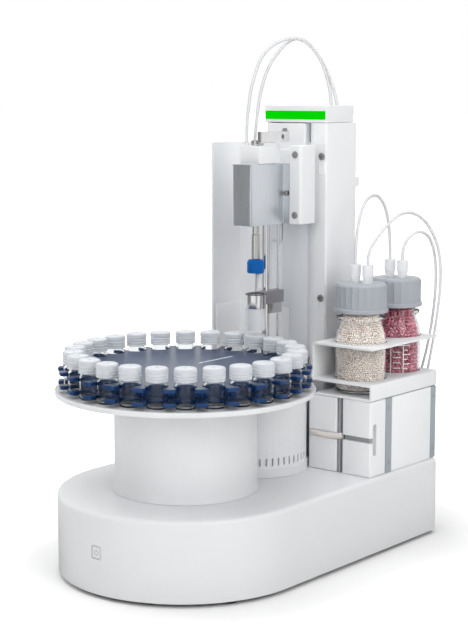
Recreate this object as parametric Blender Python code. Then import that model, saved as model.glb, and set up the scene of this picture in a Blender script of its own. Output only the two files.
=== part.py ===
"""Bench autosampler: turntable with 26 vials, lift head with needle, oven and gas drying unit.

Metres, +Z up. The rounded front of the base faces -Y, the drying unit stands on the +X side, and
the floor is at zero height. The pieces are drawn round the turntable's axis, and the whole part is
then moved forward so that the middle of its outline in plan lies at the origin.
"""
import math

import bmesh
import bpy
from mathutils import Vector

# Clearances
GAP = 0.0003
RUNNING_GAP = 0.0008
OVERRUN = 0.004

# Base housing
BASE_HALF_WIDTH = 0.1334
BASE_REAR = 0.2795
BASE_REAR_CORNER = 0.008
BASE_HEIGHT = 0.0826
BASE_WALL = 0.003
BASE_ROUNDING = 0.0045
INLET_WIDTH = 0.048
INLET_HEIGHT = 0.028
INLET_X = -0.06
INLET_CENTRE_Z = 0.044
INLET_DEPTH = 0.0016

# Base plate and its feet
PLATE_THICKNESS = 0.003
FOOT_HEIGHT = 0.004
FOOT_RADIUS = 0.009
FOOT_FRONT_INSET = 0.01528
FOOT_FRONT_ANGLE = math.radians(28.3)
FOOT_SIDE_INSET = 0.0164
FOOT_REAR_INSET = 0.0265

# Power key
KEY_WIDTH = 0.0122
KEY_HEIGHT = 0.013
KEY_CENTRE_Z = 0.0468
KEY_ROUNDING = 0.001
KEY_FLANGE = 0.0018
KEY_FLANGE_THICKNESS = 0.0014
KEY_GAP = 0.0004
KEY_FLANGE_GAP = 0.0008

# Pedestal under the turntable
PEDESTAL_RADIUS = 0.0742
PEDESTAL_FLARE = 0.0018
PEDESTAL_FLARE_HEIGHT = 0.014
PEDESTAL_HEIGHT = 0.0997
PEDESTAL_WALL = 0.0028
BEARING_RADIUS = 0.014
BEARING_HEIGHT = 0.026

# Turntable drive
SHAFT_RADIUS = 0.008
SHAFT_DROP = 0.03
PILOT_RADIUS = 0.0047
PILOT_HEIGHT = 0.0115

# Turntable disc and vial rack
DISC_RADIUS = 0.1345
DISC_THICKNESS = 0.0055
DISC_EDGE = 0.0012
VIAL_COUNT = 26
VIAL_CIRCLE = 0.115
RACK_RADIUS = 0.1125
RACK_HEIGHT = 0.0215
POCKET_CLEARANCE = 0.0006
RACK_BORE_DEPTH = 0.008

# Vial with its screw cap
VIAL_RADIUS = 0.0104
VIAL_FOOT_INSET = 0.0009
VIAL_FOOT_HEIGHT = 0.0011
VIAL_SHOULDER_HEIGHT = 0.0222
VIAL_NECK_RADIUS = 0.0082
VIAL_NECK_HEIGHT = 0.0247
VIAL_CAP_BOTTOM = 0.0285
VIAL_CAP_RADIUS = 0.0105
VIAL_CAP_ROUNDING = 0.0013
VIAL_HEIGHT = 0.0402
SEPTUM_RADIUS = 0.0018
SEPTUM_DEPTH = 0.0345

# Oven housing under the needle
OVEN_RADIUS = 0.056
OVEN_WALL = 0.0022
OVEN_RING = 0.0012
OVEN_RING_HEIGHT = 0.0102
VENT_WIDTH = 0.0022
VENT_HEIGHT = 0.0085
VENT_ABOVE_RING = 0.0025
VENT_COUNT = 12
VENT_PITCH = math.radians(7.2)
VENT_MIDDLE = math.radians(-3.2)

# Tower column
COLUMN_LEFT = -0.038
COLUMN_RIGHT = 0.015
COLUMN_FRONT = 0.1873
COLUMN_DEPTH = 0.042
COLUMN_HEIGHT = 0.3741
CHANNEL_X = -0.028
CHANNEL_WIDTH = 0.0164
CHANNEL_DEPTH = 0.0345
SCREW_RADIUS = 0.005
SCREW_BEHIND_FRONT = 0.022

# Tower shroud, one sheet round the column with a wing on its left
SHEET = 0.0025
SHROUD_LEFT = -0.042
SHROUD_RIGHT = 0.0435
SHROUD_FRONT = 0.183
SHROUD_REAR = 0.241
WALL_FRONT = 0.1868
POST_LEFT = 0.016
POST_ROUNDING = 0.0127
POST_RETURN = 0.008
WING_X = -0.0835
WING_FRONT = 0.1395
WING_HEIGHT = 0.352
GUARD_HEIGHT = 0.1695
GUARD_RIGHT = -0.0097
GUARD_FRONT_INSET = 0.005
GUARD_SHEET = 0.0012
GUARD_SINK = 0.0002
STRIP_LEFT = 0.0287
STRIP_PROUD = 0.0008
SCREW_HEAD_RADIUS = 0.0041
SCREW_HEAD_PROUD = 0.0012
STRIP_SCREW_X = 0.038
STRIP_SCREWS_BELOW_TOP = (0.014, 0.1694)
NOTCH_WIDTH = 0.0085
NOTCH_TOP = 0.0042
NOTCH_HEIGHT = 0.0145
NOTCH_DEPTH = 0.0007
CLIP_DEPTH = 0.0045
CLIP_HEIGHT = 0.011
CLIP_THICKNESS = 0.003
CLIP_ABOVE_BASE = 0.303

# Top cap and status light
CAP_HALF_WIDTH = 0.042
CAP_REAR = 0.236
CAP_HEIGHT = 0.0185
CAP_ROUNDING = 0.0015
LIGHT_HEIGHT = 0.0089
LIGHT_BELOW_TOP = 0.0061
LIGHT_SIDE_INSET = 0.0008
LIGHT_DEPTH = 0.0035
LIGHT_PROUD = 0.0005
PORT_RADIUS = 0.0028
PORT_DEPTH = 0.006
PORT_SPOTS = ((0.031, 0.208), (0.035, 0.213))

# Lift head: the white bracket and carriage
HEAD_BOTTOM = 0.2665
CARRIAGE_RIGHT = 0.0146
CARRIAGE_DEPTH = 0.005
CARRIAGE_REAR = 0.187
CARRIAGE_TOP_GAP = 0.007
BRACKET_LEFT = 0.021
BRACKET_RIGHT = 0.037
BRACKET_FRONT = 0.146
BRACKET_REAR = 0.172
BRACKET_HEIGHT = 0.084
BRACKET_BRIDGE_FRONT = 0.1703
BRACKET_BRIDGE_LEFT = -0.014
BRACKET_BRIDGE_RIGHT = 0.027
BRACKET_BRIDGE_INSET = 0.005
TONGUE_WIDTH = 0.0124
TONGUE_HEIGHT = 0.03
TONGUE_RISE = 0.03
TONGUE_END = 0.0085
NUT_CLEARANCE = 0.0003
BRACKET_SCREW_INSET = 0.0095

# Lift head: the grey cover and white body
COVER_HALF_WIDTH = 0.013
COVER_FRONT = 0.091
COVER_REAR = 0.147
COVER_HEIGHT = 0.065
COVER_WALL = 0.0016
COVER_FLANGE = 0.0075
BODY_FRONT = 0.105
BODY_LEFT = 0.014
BODY_RIGHT = 0.013
BODY_TOP_REAR = 0.135
BODY_TOP_HEIGHT = 0.0192
BODY_NECK_RIGHT = 0.008
BODY_LEG_RIGHT = 0.0206
BODY_LEG_HEIGHT = 0.0635

# Needle, its steel holder and the blue nut
NEEDLE_Y = VIAL_CIRCLE
NEEDLE_RADIUS = 0.001
NEEDLE_TIP_BELOW_HEAD = 0.099
NEEDLE_POINT = 0.003
HOLDER_RADIUS = 0.0048
HOLDER_STEP_RADIUS = 0.004
HOLDER_STEP_BELOW_HEAD = 0.01
NUT_RADIUS = 0.0093
NUT_TOP_RADIUS = 0.0076
NUT_HEIGHT = 0.0146
NUT_CHAMFER = 0.0026
NUT_TOP_BELOW_HEAD = 0.0377
COLLAR_RADIUS = 0.0052
COLLAR_HEIGHT = 0.0054
CLAMP_LEFT = 0.0075
CLAMP_RIGHT = 0.013
CLAMP_FRONT = 0.108
CLAMP_REAR = 0.157
CLAMP_RISE = 0.0032
CLAMP_HEIGHT = 0.0118
KNOB_RADIUS = 0.0024
KNOB_HEIGHT = 0.0032
BORE_CLEARANCE = 0.0003

# Hold-down sleeve with its steel bar, and the two guide rods it runs on with their bracket
SLEEVE_RADIUS = 0.0112
SLEEVE_LOWER_RADIUS = 0.0108
SLEEVE_BORE = 0.0099
SLEEVE_TOP_BELOW_HEAD = 0.0747
SLEEVE_UPPER_HEIGHT = 0.016
SLEEVE_HEIGHT = 0.04
BAR_LEFT = -0.013
BAR_RIGHT = -0.001
BAR_FRONT = 0.1225
BAR_REAR = 0.1665
BAR_HEIGHT = 0.0139
TAB_FRONT = 0.1405
TAB_REAR = 0.163
TAB_HEIGHT = 0.011
TAB_THICKNESS = 0.0012
ROD_X = -0.007
ROD_Y = 0.141
ROD_RADIUS = 0.00425
ROD_FOOT_FRONT = 0.137
ROD_FOOT_HEIGHT = 0.009
ROD_FOOT_ABOVE_DISC = 0.003
THIN_ROD_Y = 0.163
THIN_ROD_RADIUS = 0.0015
ROD_ENGAGEMENT = 0.008
ROD_BORE_DEPTH = 0.0605

# Gas drying unit
UNIT_LEFT = 0.047
UNIT_RIGHT = 0.129
UNIT_FRONT = 0.1495
UNIT_REAR = 0.2785
UNIT_HEIGHT = 0.0818
UNIT_COVER_DEPTH = 0.0295
UNIT_ROUNDING = 0.0015
UNIT_LEFT_COVER_WIDTH = 0.0375
UNIT_SEAM_PLATE = 0.0041
UNIT_SEAM_GAP = 0.0017
UNIT_STRIP = 0.0105
PANEL_THICKNESS = 0.0025
GROOVE_WIDTH = 0.006
GROOVE_DEPTH = 0.0055
GROOVE_RISE = 0.0399
SLOT_HEIGHT = 0.035
SLOT_WIDTH = 0.0065
SLOT_INSET = 0.0048
TRANSFER_RADIUS = 0.0036
TRANSFER_SINK = 0.0016
PORT_BLOCK_WIDTH = 0.03
PORT_BLOCK_DEPTH = 0.018
PORT_BLOCK_HEIGHT = 0.022
PORT_BLOCK_RISE = 0.013
BARB_RADIUS = 0.0026
BARB_HEIGHT = 0.014
BARB_SPACING = 0.011
BARB_Y = 0.2925
BARB_X = 0.095

# Bottle holder, one bent sheet
HOLDER_SHEET = 0.0024
HOLDER_LEFT = 0.05
HOLDER_RIGHT = 0.1295
HOLDER_FOOT_LEFT = 0.056
HOLDER_REAR = 0.2785
TRAY_HEIGHT = 0.0178
UPPER_PLATE_HEIGHT = 0.0572
HOLE_CLEARANCE = 0.0007

# Drying bottles and their screw caps
BOTTLE_X = 0.089
BOTTLE_YS = (0.187, 0.254)
BOTTLE_RADIUS = 0.028
BOTTLE_FOOT_ROUNDING = 0.004
BOTTLE_BODY_HEIGHT = 0.0745
BOTTLE_SHOULDER_HEIGHT = 0.0815
BOTTLE_NECK_RADIUS = 0.0222
BOTTLE_RING_RADIUS = 0.0252
BOTTLE_RING_Z = 0.0843
BOTTLE_RING_HALF = 0.0012
BOTTLE_MOUTH_RADIUS = 0.0195
BOTTLE_THREAD_Z = 0.0868
BOTTLE_HEIGHT = 0.113
CAP_SKIRT_Z = 0.0872
CAP_RING_RADIUS = 0.0294
CAP_RING_HEIGHT = 0.0042
BOTTLE_CAP_RADIUS = 0.028
BOTTLE_CAP_HEIGHT = 0.031
BOTTLE_CAP_EDGE = 0.0022
BOTTLE_CAP_TOP = 0.0036
RIB_COUNT = 24
RIB_DEPTH = 0.0007
FITTING_OFFSET = 0.0083
FITTING_RADII = (0.0052, 0.006)
FITTING_HEIGHT = 0.02
FITTING_NOSE_RADIUS = 0.0028
FITTING_NOSE_HEIGHT = 0.004

# Tubes
TUBE_RADIUS = 0.0016
TUBE_STEP_SHARE = 5.4
TUBE_LEAD = 0.007
HEAD_TUBE_X = -0.007
HEAD_TUBE_YS = (0.108, 0.122)

# How finely round pieces are cut
FINE_SEGMENTS = 60
ROUND_SEGMENTS = 40
MEDIUM_SEGMENTS = 24
SMALL_SEGMENTS = 12

# Heights worked out from the sizes above
BASE_TOP = FOOT_HEIGHT + BASE_HEIGHT
PLATE_BOTTOM = FOOT_HEIGHT
PLATE_TOP = PLATE_BOTTOM + PLATE_THICKNESS
PEDESTAL_BOTTOM = BASE_TOP + GAP
PEDESTAL_TOP = PEDESTAL_BOTTOM + PEDESTAL_HEIGHT
DISC_BOTTOM = PEDESTAL_TOP + RUNNING_GAP
DISC_TOP = DISC_BOTTOM + DISC_THICKNESS
RACK_BOTTOM = DISC_TOP + GAP
VIAL_BOTTOM = DISC_TOP + GAP
TOWER_BOTTOM = BASE_TOP + GAP
COLUMN_TOP = TOWER_BOTTOM + COLUMN_HEIGHT
CAP_BOTTOM = COLUMN_TOP + GAP
CAP_TOP = CAP_BOTTOM + CAP_HEIGHT
HEAD_Z = BASE_TOP + HEAD_BOTTOM
COVER_TOP = HEAD_Z + COVER_HEIGHT
BODY_TOP = COVER_TOP + GAP + BODY_TOP_HEIGHT
UNIT_BOTTOM = BASE_TOP + GAP
UNIT_TOP = UNIT_BOTTOM + UNIT_HEIGHT
HOLDER_BOTTOM = UNIT_TOP + GAP
BOTTLE_BOTTOM = HOLDER_BOTTOM + HOLDER_SHEET + GAP
CAP_SEAT = BOTTLE_BOTTOM + CAP_SKIRT_Z
FITTING_TOP = CAP_SEAT + BOTTLE_CAP_HEIGHT + FITTING_HEIGHT

# How far the turntable's axis lies in front of the part's middle
AXIS_SHIFT = (UNIT_REAR + PORT_BLOCK_DEPTH - DISC_RADIUS) / 2

# Tube routes, chosen by hand: the points each tube passes through between its two ends
HEAD_TUBE_FRONT = [
    (-0.007, 0.109, 0.465), (-0.0061, 0.1107, 0.481), (-0.005, 0.1125, 0.4961), (-0.0026, 0.1163, 0.5123),
    (0.0, 0.1218, 0.5275), (0.0039, 0.1307, 0.5394), (0.0089, 0.1437, 0.5474), (0.0149, 0.1577, 0.5512),
    (0.0199, 0.1707, 0.549), (0.0243, 0.1817, 0.5415), (0.028, 0.1915, 0.5294), (0.0303, 0.1992, 0.5133),
    (0.0311, 0.2052, 0.4961)]
HEAD_TUBE_REAR = [
    (-0.0062, 0.123, 0.459), (-0.0053, 0.1248, 0.475), (-0.0044, 0.1287, 0.4939), (-0.0028, 0.1352, 0.5131),
    (0.0003, 0.1425, 0.5276), (0.0043, 0.1516, 0.5396), (0.0085, 0.161, 0.5481), (0.0125, 0.1697, 0.5512),
    (0.017, 0.1793, 0.5486), (0.0212, 0.1883, 0.54), (0.0255, 0.1973, 0.5276), (0.0298, 0.2047, 0.5117),
    (0.0333, 0.2098, 0.4959)]
BOTTLE_LINK_TUBE = [
    (0.0811, 0.1875, 0.33), (0.0815, 0.1895, 0.348), (0.082, 0.195, 0.3655), (0.082, 0.204, 0.3775),
    (0.082, 0.2155, 0.3822), (0.082, 0.2275, 0.3808), (0.082, 0.239, 0.371), (0.0818, 0.2465, 0.356),
    (0.0813, 0.2515, 0.338)]
FIRST_GAS_TUBE = [
    (0.0984, 0.191, 0.3285), (0.1012, 0.2022, 0.342), (0.1045, 0.2165, 0.354), (0.108, 0.2325, 0.3625),
    (0.1115, 0.2505, 0.3628), (0.115, 0.268, 0.3545), (0.1182, 0.2815, 0.3395), (0.1203, 0.2905, 0.322),
    (0.121, 0.295, 0.302), (0.1205, 0.2965, 0.282), (0.119, 0.2965, 0.262), (0.1168, 0.296, 0.242),
    (0.1142, 0.2952, 0.222), (0.1112, 0.294, 0.202), (0.1078, 0.293, 0.182), (0.104, 0.2925, 0.162)]
SECOND_GAS_TUBE = [
    (0.098, 0.2562, 0.3255), (0.1003, 0.2615, 0.3345), (0.1035, 0.2695, 0.3395), (0.107, 0.279, 0.3395),
    (0.1103, 0.2875, 0.333), (0.1125, 0.2932, 0.32), (0.1138, 0.296, 0.303), (0.1138, 0.2972, 0.284),
    (0.1128, 0.2972, 0.263), (0.1105, 0.2968, 0.242), (0.1075, 0.296, 0.221), (0.1035, 0.2948, 0.2),
    (0.0985, 0.2936, 0.18), (0.0925, 0.2928, 0.16)]


def clear_scene():
    """Remove whatever the scene holds."""
    for item in list(bpy.data.objects):
        bpy.data.objects.remove(item, do_unlink=True)


def finish(name, colour, roughness, metallic=0.0):
    """A plain material."""
    material = bpy.data.materials.new(name)
    material.use_nodes = True
    shader = material.node_tree.nodes["Principled BSDF"]
    shader.inputs["Base Color"].default_value = (*colour, 1.0)
    shader.inputs["Roughness"].default_value = roughness
    shader.inputs["Metallic"].default_value = metallic
    return material


def make_finishes():
    """Every finish by name."""
    return {
        "housing": finish("housing_white", (0.84, 0.85, 0.86), 0.35),
        "sheet": finish("sheet_white", (0.86, 0.87, 0.88), 0.38),
        "grey": finish("cover_grey", (0.42, 0.46, 0.51), 0.4),
        "dark": finish("foot_dark", (0.03, 0.03, 0.03), 0.8),
        "disc": finish("disc_metal", (0.35, 0.37, 0.4), 0.35, 0.8),
        "rack": finish("rack_blue", (0.05, 0.1, 0.25), 0.25),
        "vial": finish("vial_clear", (0.8, 0.85, 0.9), 0.15),
        "column": finish("column_anodised", (0.5, 0.53, 0.58), 0.4, 0.3),
        "light": finish("status_green", (0.0, 0.8, 0.05), 0.4),
        "steel": finish("polished_steel", (0.6, 0.6, 0.62), 0.2, 1.0),
        "nut": finish("nut_blue", (0.01, 0.12, 0.5), 0.4),
        "frame": finish("frame_grey", (0.38, 0.42, 0.46), 0.45, 0.2),
        "cream": finish("bottle_cream", (0.72, 0.6, 0.5), 0.3),
        "crimson": finish("bottle_crimson", (0.35, 0.02, 0.06), 0.3),
        "bottle_cap": finish("bottle_cap_grey", (0.36, 0.39, 0.43), 0.5),
        "tube": finish("tube_clear", (0.85, 0.87, 0.88), 0.3),
    }


def place(name, geometry, material, origin=(0.0, 0.0, 0.0), smooth=True):
    """Turn finished geometry into a named object whose origin lies at the given point."""
    bmesh.ops.translate(geometry, verts=geometry.verts, vec=-Vector(origin))
    bmesh.ops.recalc_face_normals(geometry, faces=geometry.faces)
    mesh = bpy.data.meshes.new(name)
    geometry.to_mesh(mesh)
    geometry.free()
    if smooth:
        mesh.shade_smooth()
        mesh.set_sharp_from_angle(angle=math.radians(35))
    mesh.materials.append(material)
    item = bpy.data.objects.new(name, mesh)
    item.location = origin
    bpy.context.collection.objects.link(item)
    return item


def loops_to_body(loops, ring=False):
    """Join outlines of equal point counts into one closed body: capped at both ends, or closed on itself."""
    body = bmesh.new()
    rows = [[body.verts.new(point) for point in loop] for loop in loops]
    pairs = list(zip(rows, rows[1:]))
    if ring:
        pairs.append((rows[-1], rows[0]))
    for lower, upper in pairs:
        count = len(lower)
        for i in range(count):
            j = (i + 1) % count
            body.faces.new((lower[i], lower[j], upper[j], upper[i]))
    if not ring:
        body.faces.new(list(reversed(rows[0])))
        body.faces.new(rows[-1])
    return body


def circle(radius, z, segments, centre=(0.0, 0.0)):
    """Points of a level circle."""
    step = 2 * math.pi / segments
    return [(centre[0] + radius * math.cos(i * step), centre[1] + radius * math.sin(i * step), z)
            for i in range(segments)]


def turned(profile, segments, centre=(0.0, 0.0), ring=False):
    """A body turned round a vertical line from (radius, height) pairs."""
    return loops_to_body([circle(r, z, segments, centre) for r, z in profile], ring)


def prism(outline, bottom, top):
    """An outline in plan, drawn up between two heights."""
    return loops_to_body([[(x, y, z) for x, y in outline] for z in (bottom, top)])


def block(x_range, y_range, z_range):
    """A rectangular block."""
    (x0, x1), (y0, y1) = x_range, y_range
    return prism([(x0, y0), (x1, y0), (x1, y1), (x0, y1)], *z_range)


def side_prism(outline, y_range):
    """An outline in the X-Z plane, drawn along Y."""
    return loops_to_body([[(x, y, z) for x, z in outline] for y in y_range])


def arc(centre, radius, start, end, steps):
    """Points on an arc in plan."""
    return [(centre[0] + radius * math.cos(start + (end - start) * i / steps),
             centre[1] + radius * math.sin(start + (end - start) * i / steps)) for i in range(steps + 1)]


def rounded_rectangle(x_range, y_range, radius, steps=4):
    """A rectangle in plan with round corners, anticlockwise."""
    (x0, x1), (y0, y1) = x_range, y_range
    quarter = math.pi / 2
    corners = [(x1 - radius, y1 - radius), (x0 + radius, y1 - radius),
               (x0 + radius, y0 + radius), (x1 - radius, y0 + radius)]
    points = []
    for i, corner in enumerate(corners):
        points += arc(corner, radius, i * quarter, (i + 1) * quarter, steps)
    return points


def base_outline(inset, z):
    """The base seen from above, drawn in by an inset: a half circle in front, square behind with round corners."""
    half = BASE_HALF_WIDTH - inset
    rear = BASE_REAR - inset
    corner = max(BASE_REAR_CORNER - inset, GAP)
    front = arc((0.0, 0.0), half, math.pi, 2 * math.pi, ROUND_SEGMENTS)
    right = arc((half - corner, rear - corner), corner, 0.0, math.pi / 2, 4)
    left = arc((corner - half, rear - corner), corner, math.pi / 2, math.pi, 4)
    return [(x, y, z) for x, y in front + right + left]


def folded_sheet(path, thickness):
    """The closed outline of a bent sheet: a path and the same path offset to its left, with mitred corners."""
    points = [Vector(point) for point in path]
    normals = []
    for first, second in zip(points, points[1:]):
        run = (second - first).normalized()
        normals.append(Vector((-run.y, run.x)))
    offset = []
    for i, point in enumerate(points):
        before = normals[max(i - 1, 0)]
        after = normals[min(i, len(normals) - 1)]
        middle = (before + after).normalized()
        offset.append(point + middle * (thickness / middle.dot(after)))
    return [tuple(point) for point in points + offset[::-1]]


def joiner(target, other, operation):
    """Cut or join another body with a live Boolean, and hide that body."""
    step = target.modifiers.new(other.name, "BOOLEAN")
    step.operation = operation
    step.solver = "EXACT"
    step.object = other
    other.hide_render = True
    other.display_type = "WIRE"


def cut(target, geometry, label):
    """Cut geometry out of an object."""
    joiner(target, place(f"{target.name}_{label}", geometry, target.data.materials[0]), "DIFFERENCE")


def join(target, geometry, label):
    """Join geometry onto an object."""
    joiner(target, place(f"{target.name}_{label}", geometry, target.data.materials[0]), "UNION")


def cross_bore(radius, start, end, segments=SMALL_SEGMENTS):
    """A cylinder along Y between two points with the same x and z."""
    ring = [(start[0] + radius * math.cos(2 * math.pi * i / segments),
             start[2] + radius * math.sin(2 * math.pi * i / segments)) for i in range(segments)]
    return side_prism(ring, (start[1], end[1]))


def make_base(finishes):
    """The base housing, open below, with holes for the spindle and the key and a recess for the mains inlet."""
    ceiling = BASE_TOP - BASE_WALL
    rounding = [(BASE_ROUNDING * (1 - math.cos(i * math.pi / 8)),
                 BASE_TOP - BASE_ROUNDING * (1 - math.sin(i * math.pi / 8))) for i in range(5)]
    levels = [(BASE_WALL, ceiling), (BASE_WALL, FOOT_HEIGHT), (0.0, FOOT_HEIGHT)] + rounding
    shell = loops_to_body([base_outline(inset, z) for inset, z in levels])
    housing = place("base_housing", shell, finishes["housing"])
    spindle_hole = turned([(BEARING_RADIUS + GAP, z) for z in (ceiling - OVERRUN, BASE_TOP + OVERRUN)],
                          MEDIUM_SEGMENTS)
    cut(housing, spindle_hole, "spindle_hole")
    half_width = KEY_WIDTH / 2 + KEY_GAP
    half_height = KEY_HEIGHT / 2 + KEY_GAP
    key_hole = block((-half_width, half_width),
                     (-BASE_HALF_WIDTH - OVERRUN, BASE_WALL + OVERRUN - BASE_HALF_WIDTH),
                     (KEY_CENTRE_Z - half_height, KEY_CENTRE_Z + half_height))
    cut(housing, key_hole, "key_hole")
    inlet = block((INLET_X - INLET_WIDTH / 2, INLET_X + INLET_WIDTH / 2),
                  (BASE_REAR - INLET_DEPTH, BASE_REAR + OVERRUN),
                  (INLET_CENTRE_Z - INLET_HEIGHT / 2, INLET_CENTRE_Z + INLET_HEIGHT / 2))
    cut(housing, inlet, "inlet_recess")


def make_base_plate(finishes):
    """The bottom plate with its four feet."""
    inset = BASE_WALL + GAP
    plate = loops_to_body([base_outline(inset, z) for z in (PLATE_BOTTOM, PLATE_TOP)])
    item = place("base_plate", plate, finishes["dark"])
    reach = BASE_HALF_WIDTH - FOOT_FRONT_INSET
    front_x = reach * math.cos(FOOT_FRONT_ANGLE)
    front_y = -reach * math.sin(FOOT_FRONT_ANGLE)
    rear_x = BASE_HALF_WIDTH - FOOT_SIDE_INSET
    rear_y = BASE_REAR - FOOT_REAR_INSET
    spots = [(side * front_x, front_y) for side in (-1, 1)]
    spots += [(side * rear_x, rear_y) for side in (-1, 1)]
    for i, spot in enumerate(spots):
        foot = turned([(FOOT_RADIUS, 0.0), (FOOT_RADIUS, PLATE_TOP - PLATE_THICKNESS / 2)],
                      MEDIUM_SEGMENTS, spot)
        join(item, foot, f"foot_{i + 1}")


def make_power_key(finishes):
    """The key in the base's front, with a flange behind the wall that keeps it in."""
    front = -BASE_HALF_WIDTH
    flange_front = front + BASE_WALL + KEY_FLANGE_GAP
    outline = rounded_rectangle((-KEY_WIDTH / 2, KEY_WIDTH / 2),
                                (KEY_CENTRE_Z - KEY_HEIGHT / 2, KEY_CENTRE_Z + KEY_HEIGHT / 2), KEY_ROUNDING)
    half_width = KEY_WIDTH / 2 + KEY_FLANGE
    half_height = KEY_HEIGHT / 2 + KEY_FLANGE
    flange = rounded_rectangle((-half_width, half_width),
                               (KEY_CENTRE_Z - half_height, KEY_CENTRE_Z + half_height), KEY_ROUNDING)
    sections = [(outline, front), (outline, flange_front), (flange, flange_front),
                (flange, flange_front + KEY_FLANGE_THICKNESS)]
    body = loops_to_body([[(x, y, z) for x, z in shape] for shape, y in sections])
    place("power_key", body, finishes["housing"], (0.0, front, KEY_CENTRE_Z), smooth=False)


def make_pedestal(finishes):
    """The drum under the turntable, with the spindle's bearing hanging from its top."""
    flared = PEDESTAL_RADIUS + PEDESTAL_FLARE
    inner = PEDESTAL_RADIUS - PEDESTAL_WALL
    hole = SHAFT_RADIUS + RUNNING_GAP
    ceiling = PEDESTAL_TOP - PEDESTAL_WALL
    bearing = ceiling - BEARING_HEIGHT
    profile = [(hole, bearing), (BEARING_RADIUS, bearing), (BEARING_RADIUS, ceiling), (inner, ceiling),
               (inner, PEDESTAL_BOTTOM), (flared, PEDESTAL_BOTTOM), (flared, PEDESTAL_BOTTOM + PEDESTAL_FLARE),
               (PEDESTAL_RADIUS + PEDESTAL_FLARE / 4, PEDESTAL_BOTTOM + PEDESTAL_FLARE_HEIGHT / 2),
               (PEDESTAL_RADIUS, PEDESTAL_BOTTOM + PEDESTAL_FLARE_HEIGHT), (PEDESTAL_RADIUS, PEDESTAL_TOP),
               (hole, PEDESTAL_TOP)]
    place("pedestal_housing", turned(profile, FINE_SEGMENTS, ring=True), finishes["housing"])


def make_drive(finishes):
    """The turntable's spindle, with a thinner pilot that centres the disc and the rack."""
    shoulder = DISC_BOTTOM - GAP
    profile = [(SHAFT_RADIUS, BASE_TOP - SHAFT_DROP), (SHAFT_RADIUS, shoulder), (PILOT_RADIUS, shoulder),
               (PILOT_RADIUS, shoulder + PILOT_HEIGHT)]
    place("turntable_shaft", turned(profile, MEDIUM_SEGMENTS), finishes["steel"])


def make_turntable(finishes):
    """The disc and the scalloped rack on it."""
    hole = PILOT_RADIUS + GAP
    edge = DISC_RADIUS - DISC_EDGE
    profile = [(hole, DISC_BOTTOM), (edge - DISC_EDGE, DISC_BOTTOM), (DISC_RADIUS, DISC_BOTTOM + DISC_THICKNESS / 2),
               (DISC_RADIUS, DISC_TOP - DISC_EDGE / 2), (DISC_RADIUS - DISC_EDGE / 2, DISC_TOP), (hole, DISC_TOP)]
    place("turntable_disc", turned(profile, FINE_SEGMENTS, ring=True), finishes["disc"])
    rack = place("vial_rack", prism(rack_outline(), RACK_BOTTOM, RACK_BOTTOM + RACK_HEIGHT), finishes["rack"])
    cut(rack, turned([(hole, RACK_BOTTOM - OVERRUN), (hole, RACK_BOTTOM + RACK_BORE_DEPTH + GAP)], MEDIUM_SEGMENTS),
        "pilot_bore")


def vial_angle(index):
    """The direction of a vial from the turntable's axis: vial 0 stands under the needle."""
    return math.pi / 2 - index * 2 * math.pi / VIAL_COUNT


def rack_outline():
    """A circle with a round bite for each vial, open outwards."""
    bite = VIAL_RADIUS + POCKET_CLEARANCE
    reach = (RACK_RADIUS ** 2 + VIAL_CIRCLE ** 2 - bite ** 2) / (2 * RACK_RADIUS * VIAL_CIRCLE)
    half_mouth = math.acos(reach)
    across = RACK_RADIUS * math.sin(half_mouth)
    along = RACK_RADIUS * math.cos(half_mouth) - VIAL_CIRCLE
    turn = math.atan2(across, along)
    points = []
    for index in range(VIAL_COUNT):
        middle = vial_angle(index)
        centre = (VIAL_CIRCLE * math.cos(middle), VIAL_CIRCLE * math.sin(middle))
        points += arc(centre, bite, middle + turn, middle + 2 * math.pi - turn, 7)
    return points


def make_vials(finishes):
    """Twenty-six glass vials with screw caps, pierced along their middle where the needle goes in."""
    foot = VIAL_RADIUS - VIAL_FOOT_INSET
    cap_edge = VIAL_CAP_RADIUS - VIAL_CAP_ROUNDING
    floor = VIAL_HEIGHT - SEPTUM_DEPTH
    profile = [(foot, 0.0), (VIAL_RADIUS, VIAL_FOOT_HEIGHT), (VIAL_RADIUS, VIAL_SHOULDER_HEIGHT),
               (VIAL_NECK_RADIUS, VIAL_NECK_HEIGHT), (VIAL_NECK_RADIUS, VIAL_CAP_BOTTOM),
               (VIAL_CAP_RADIUS, VIAL_CAP_BOTTOM), (VIAL_CAP_RADIUS, VIAL_HEIGHT - VIAL_CAP_ROUNDING),
               (cap_edge, VIAL_HEIGHT), (SEPTUM_RADIUS, VIAL_HEIGHT), (SEPTUM_RADIUS, floor)]
    first = place("vial_01", turned(profile, SMALL_SEGMENTS), finishes["vial"])
    for index in range(VIAL_COUNT):
        angle = vial_angle(index)
        item = first
        if index:
            item = bpy.data.objects.new(f"vial_{index + 1:02d}", first.data)
            bpy.context.collection.objects.link(item)
        item.location = (VIAL_CIRCLE * math.cos(angle), VIAL_CIRCLE * math.sin(angle), VIAL_BOTTOM)


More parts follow.
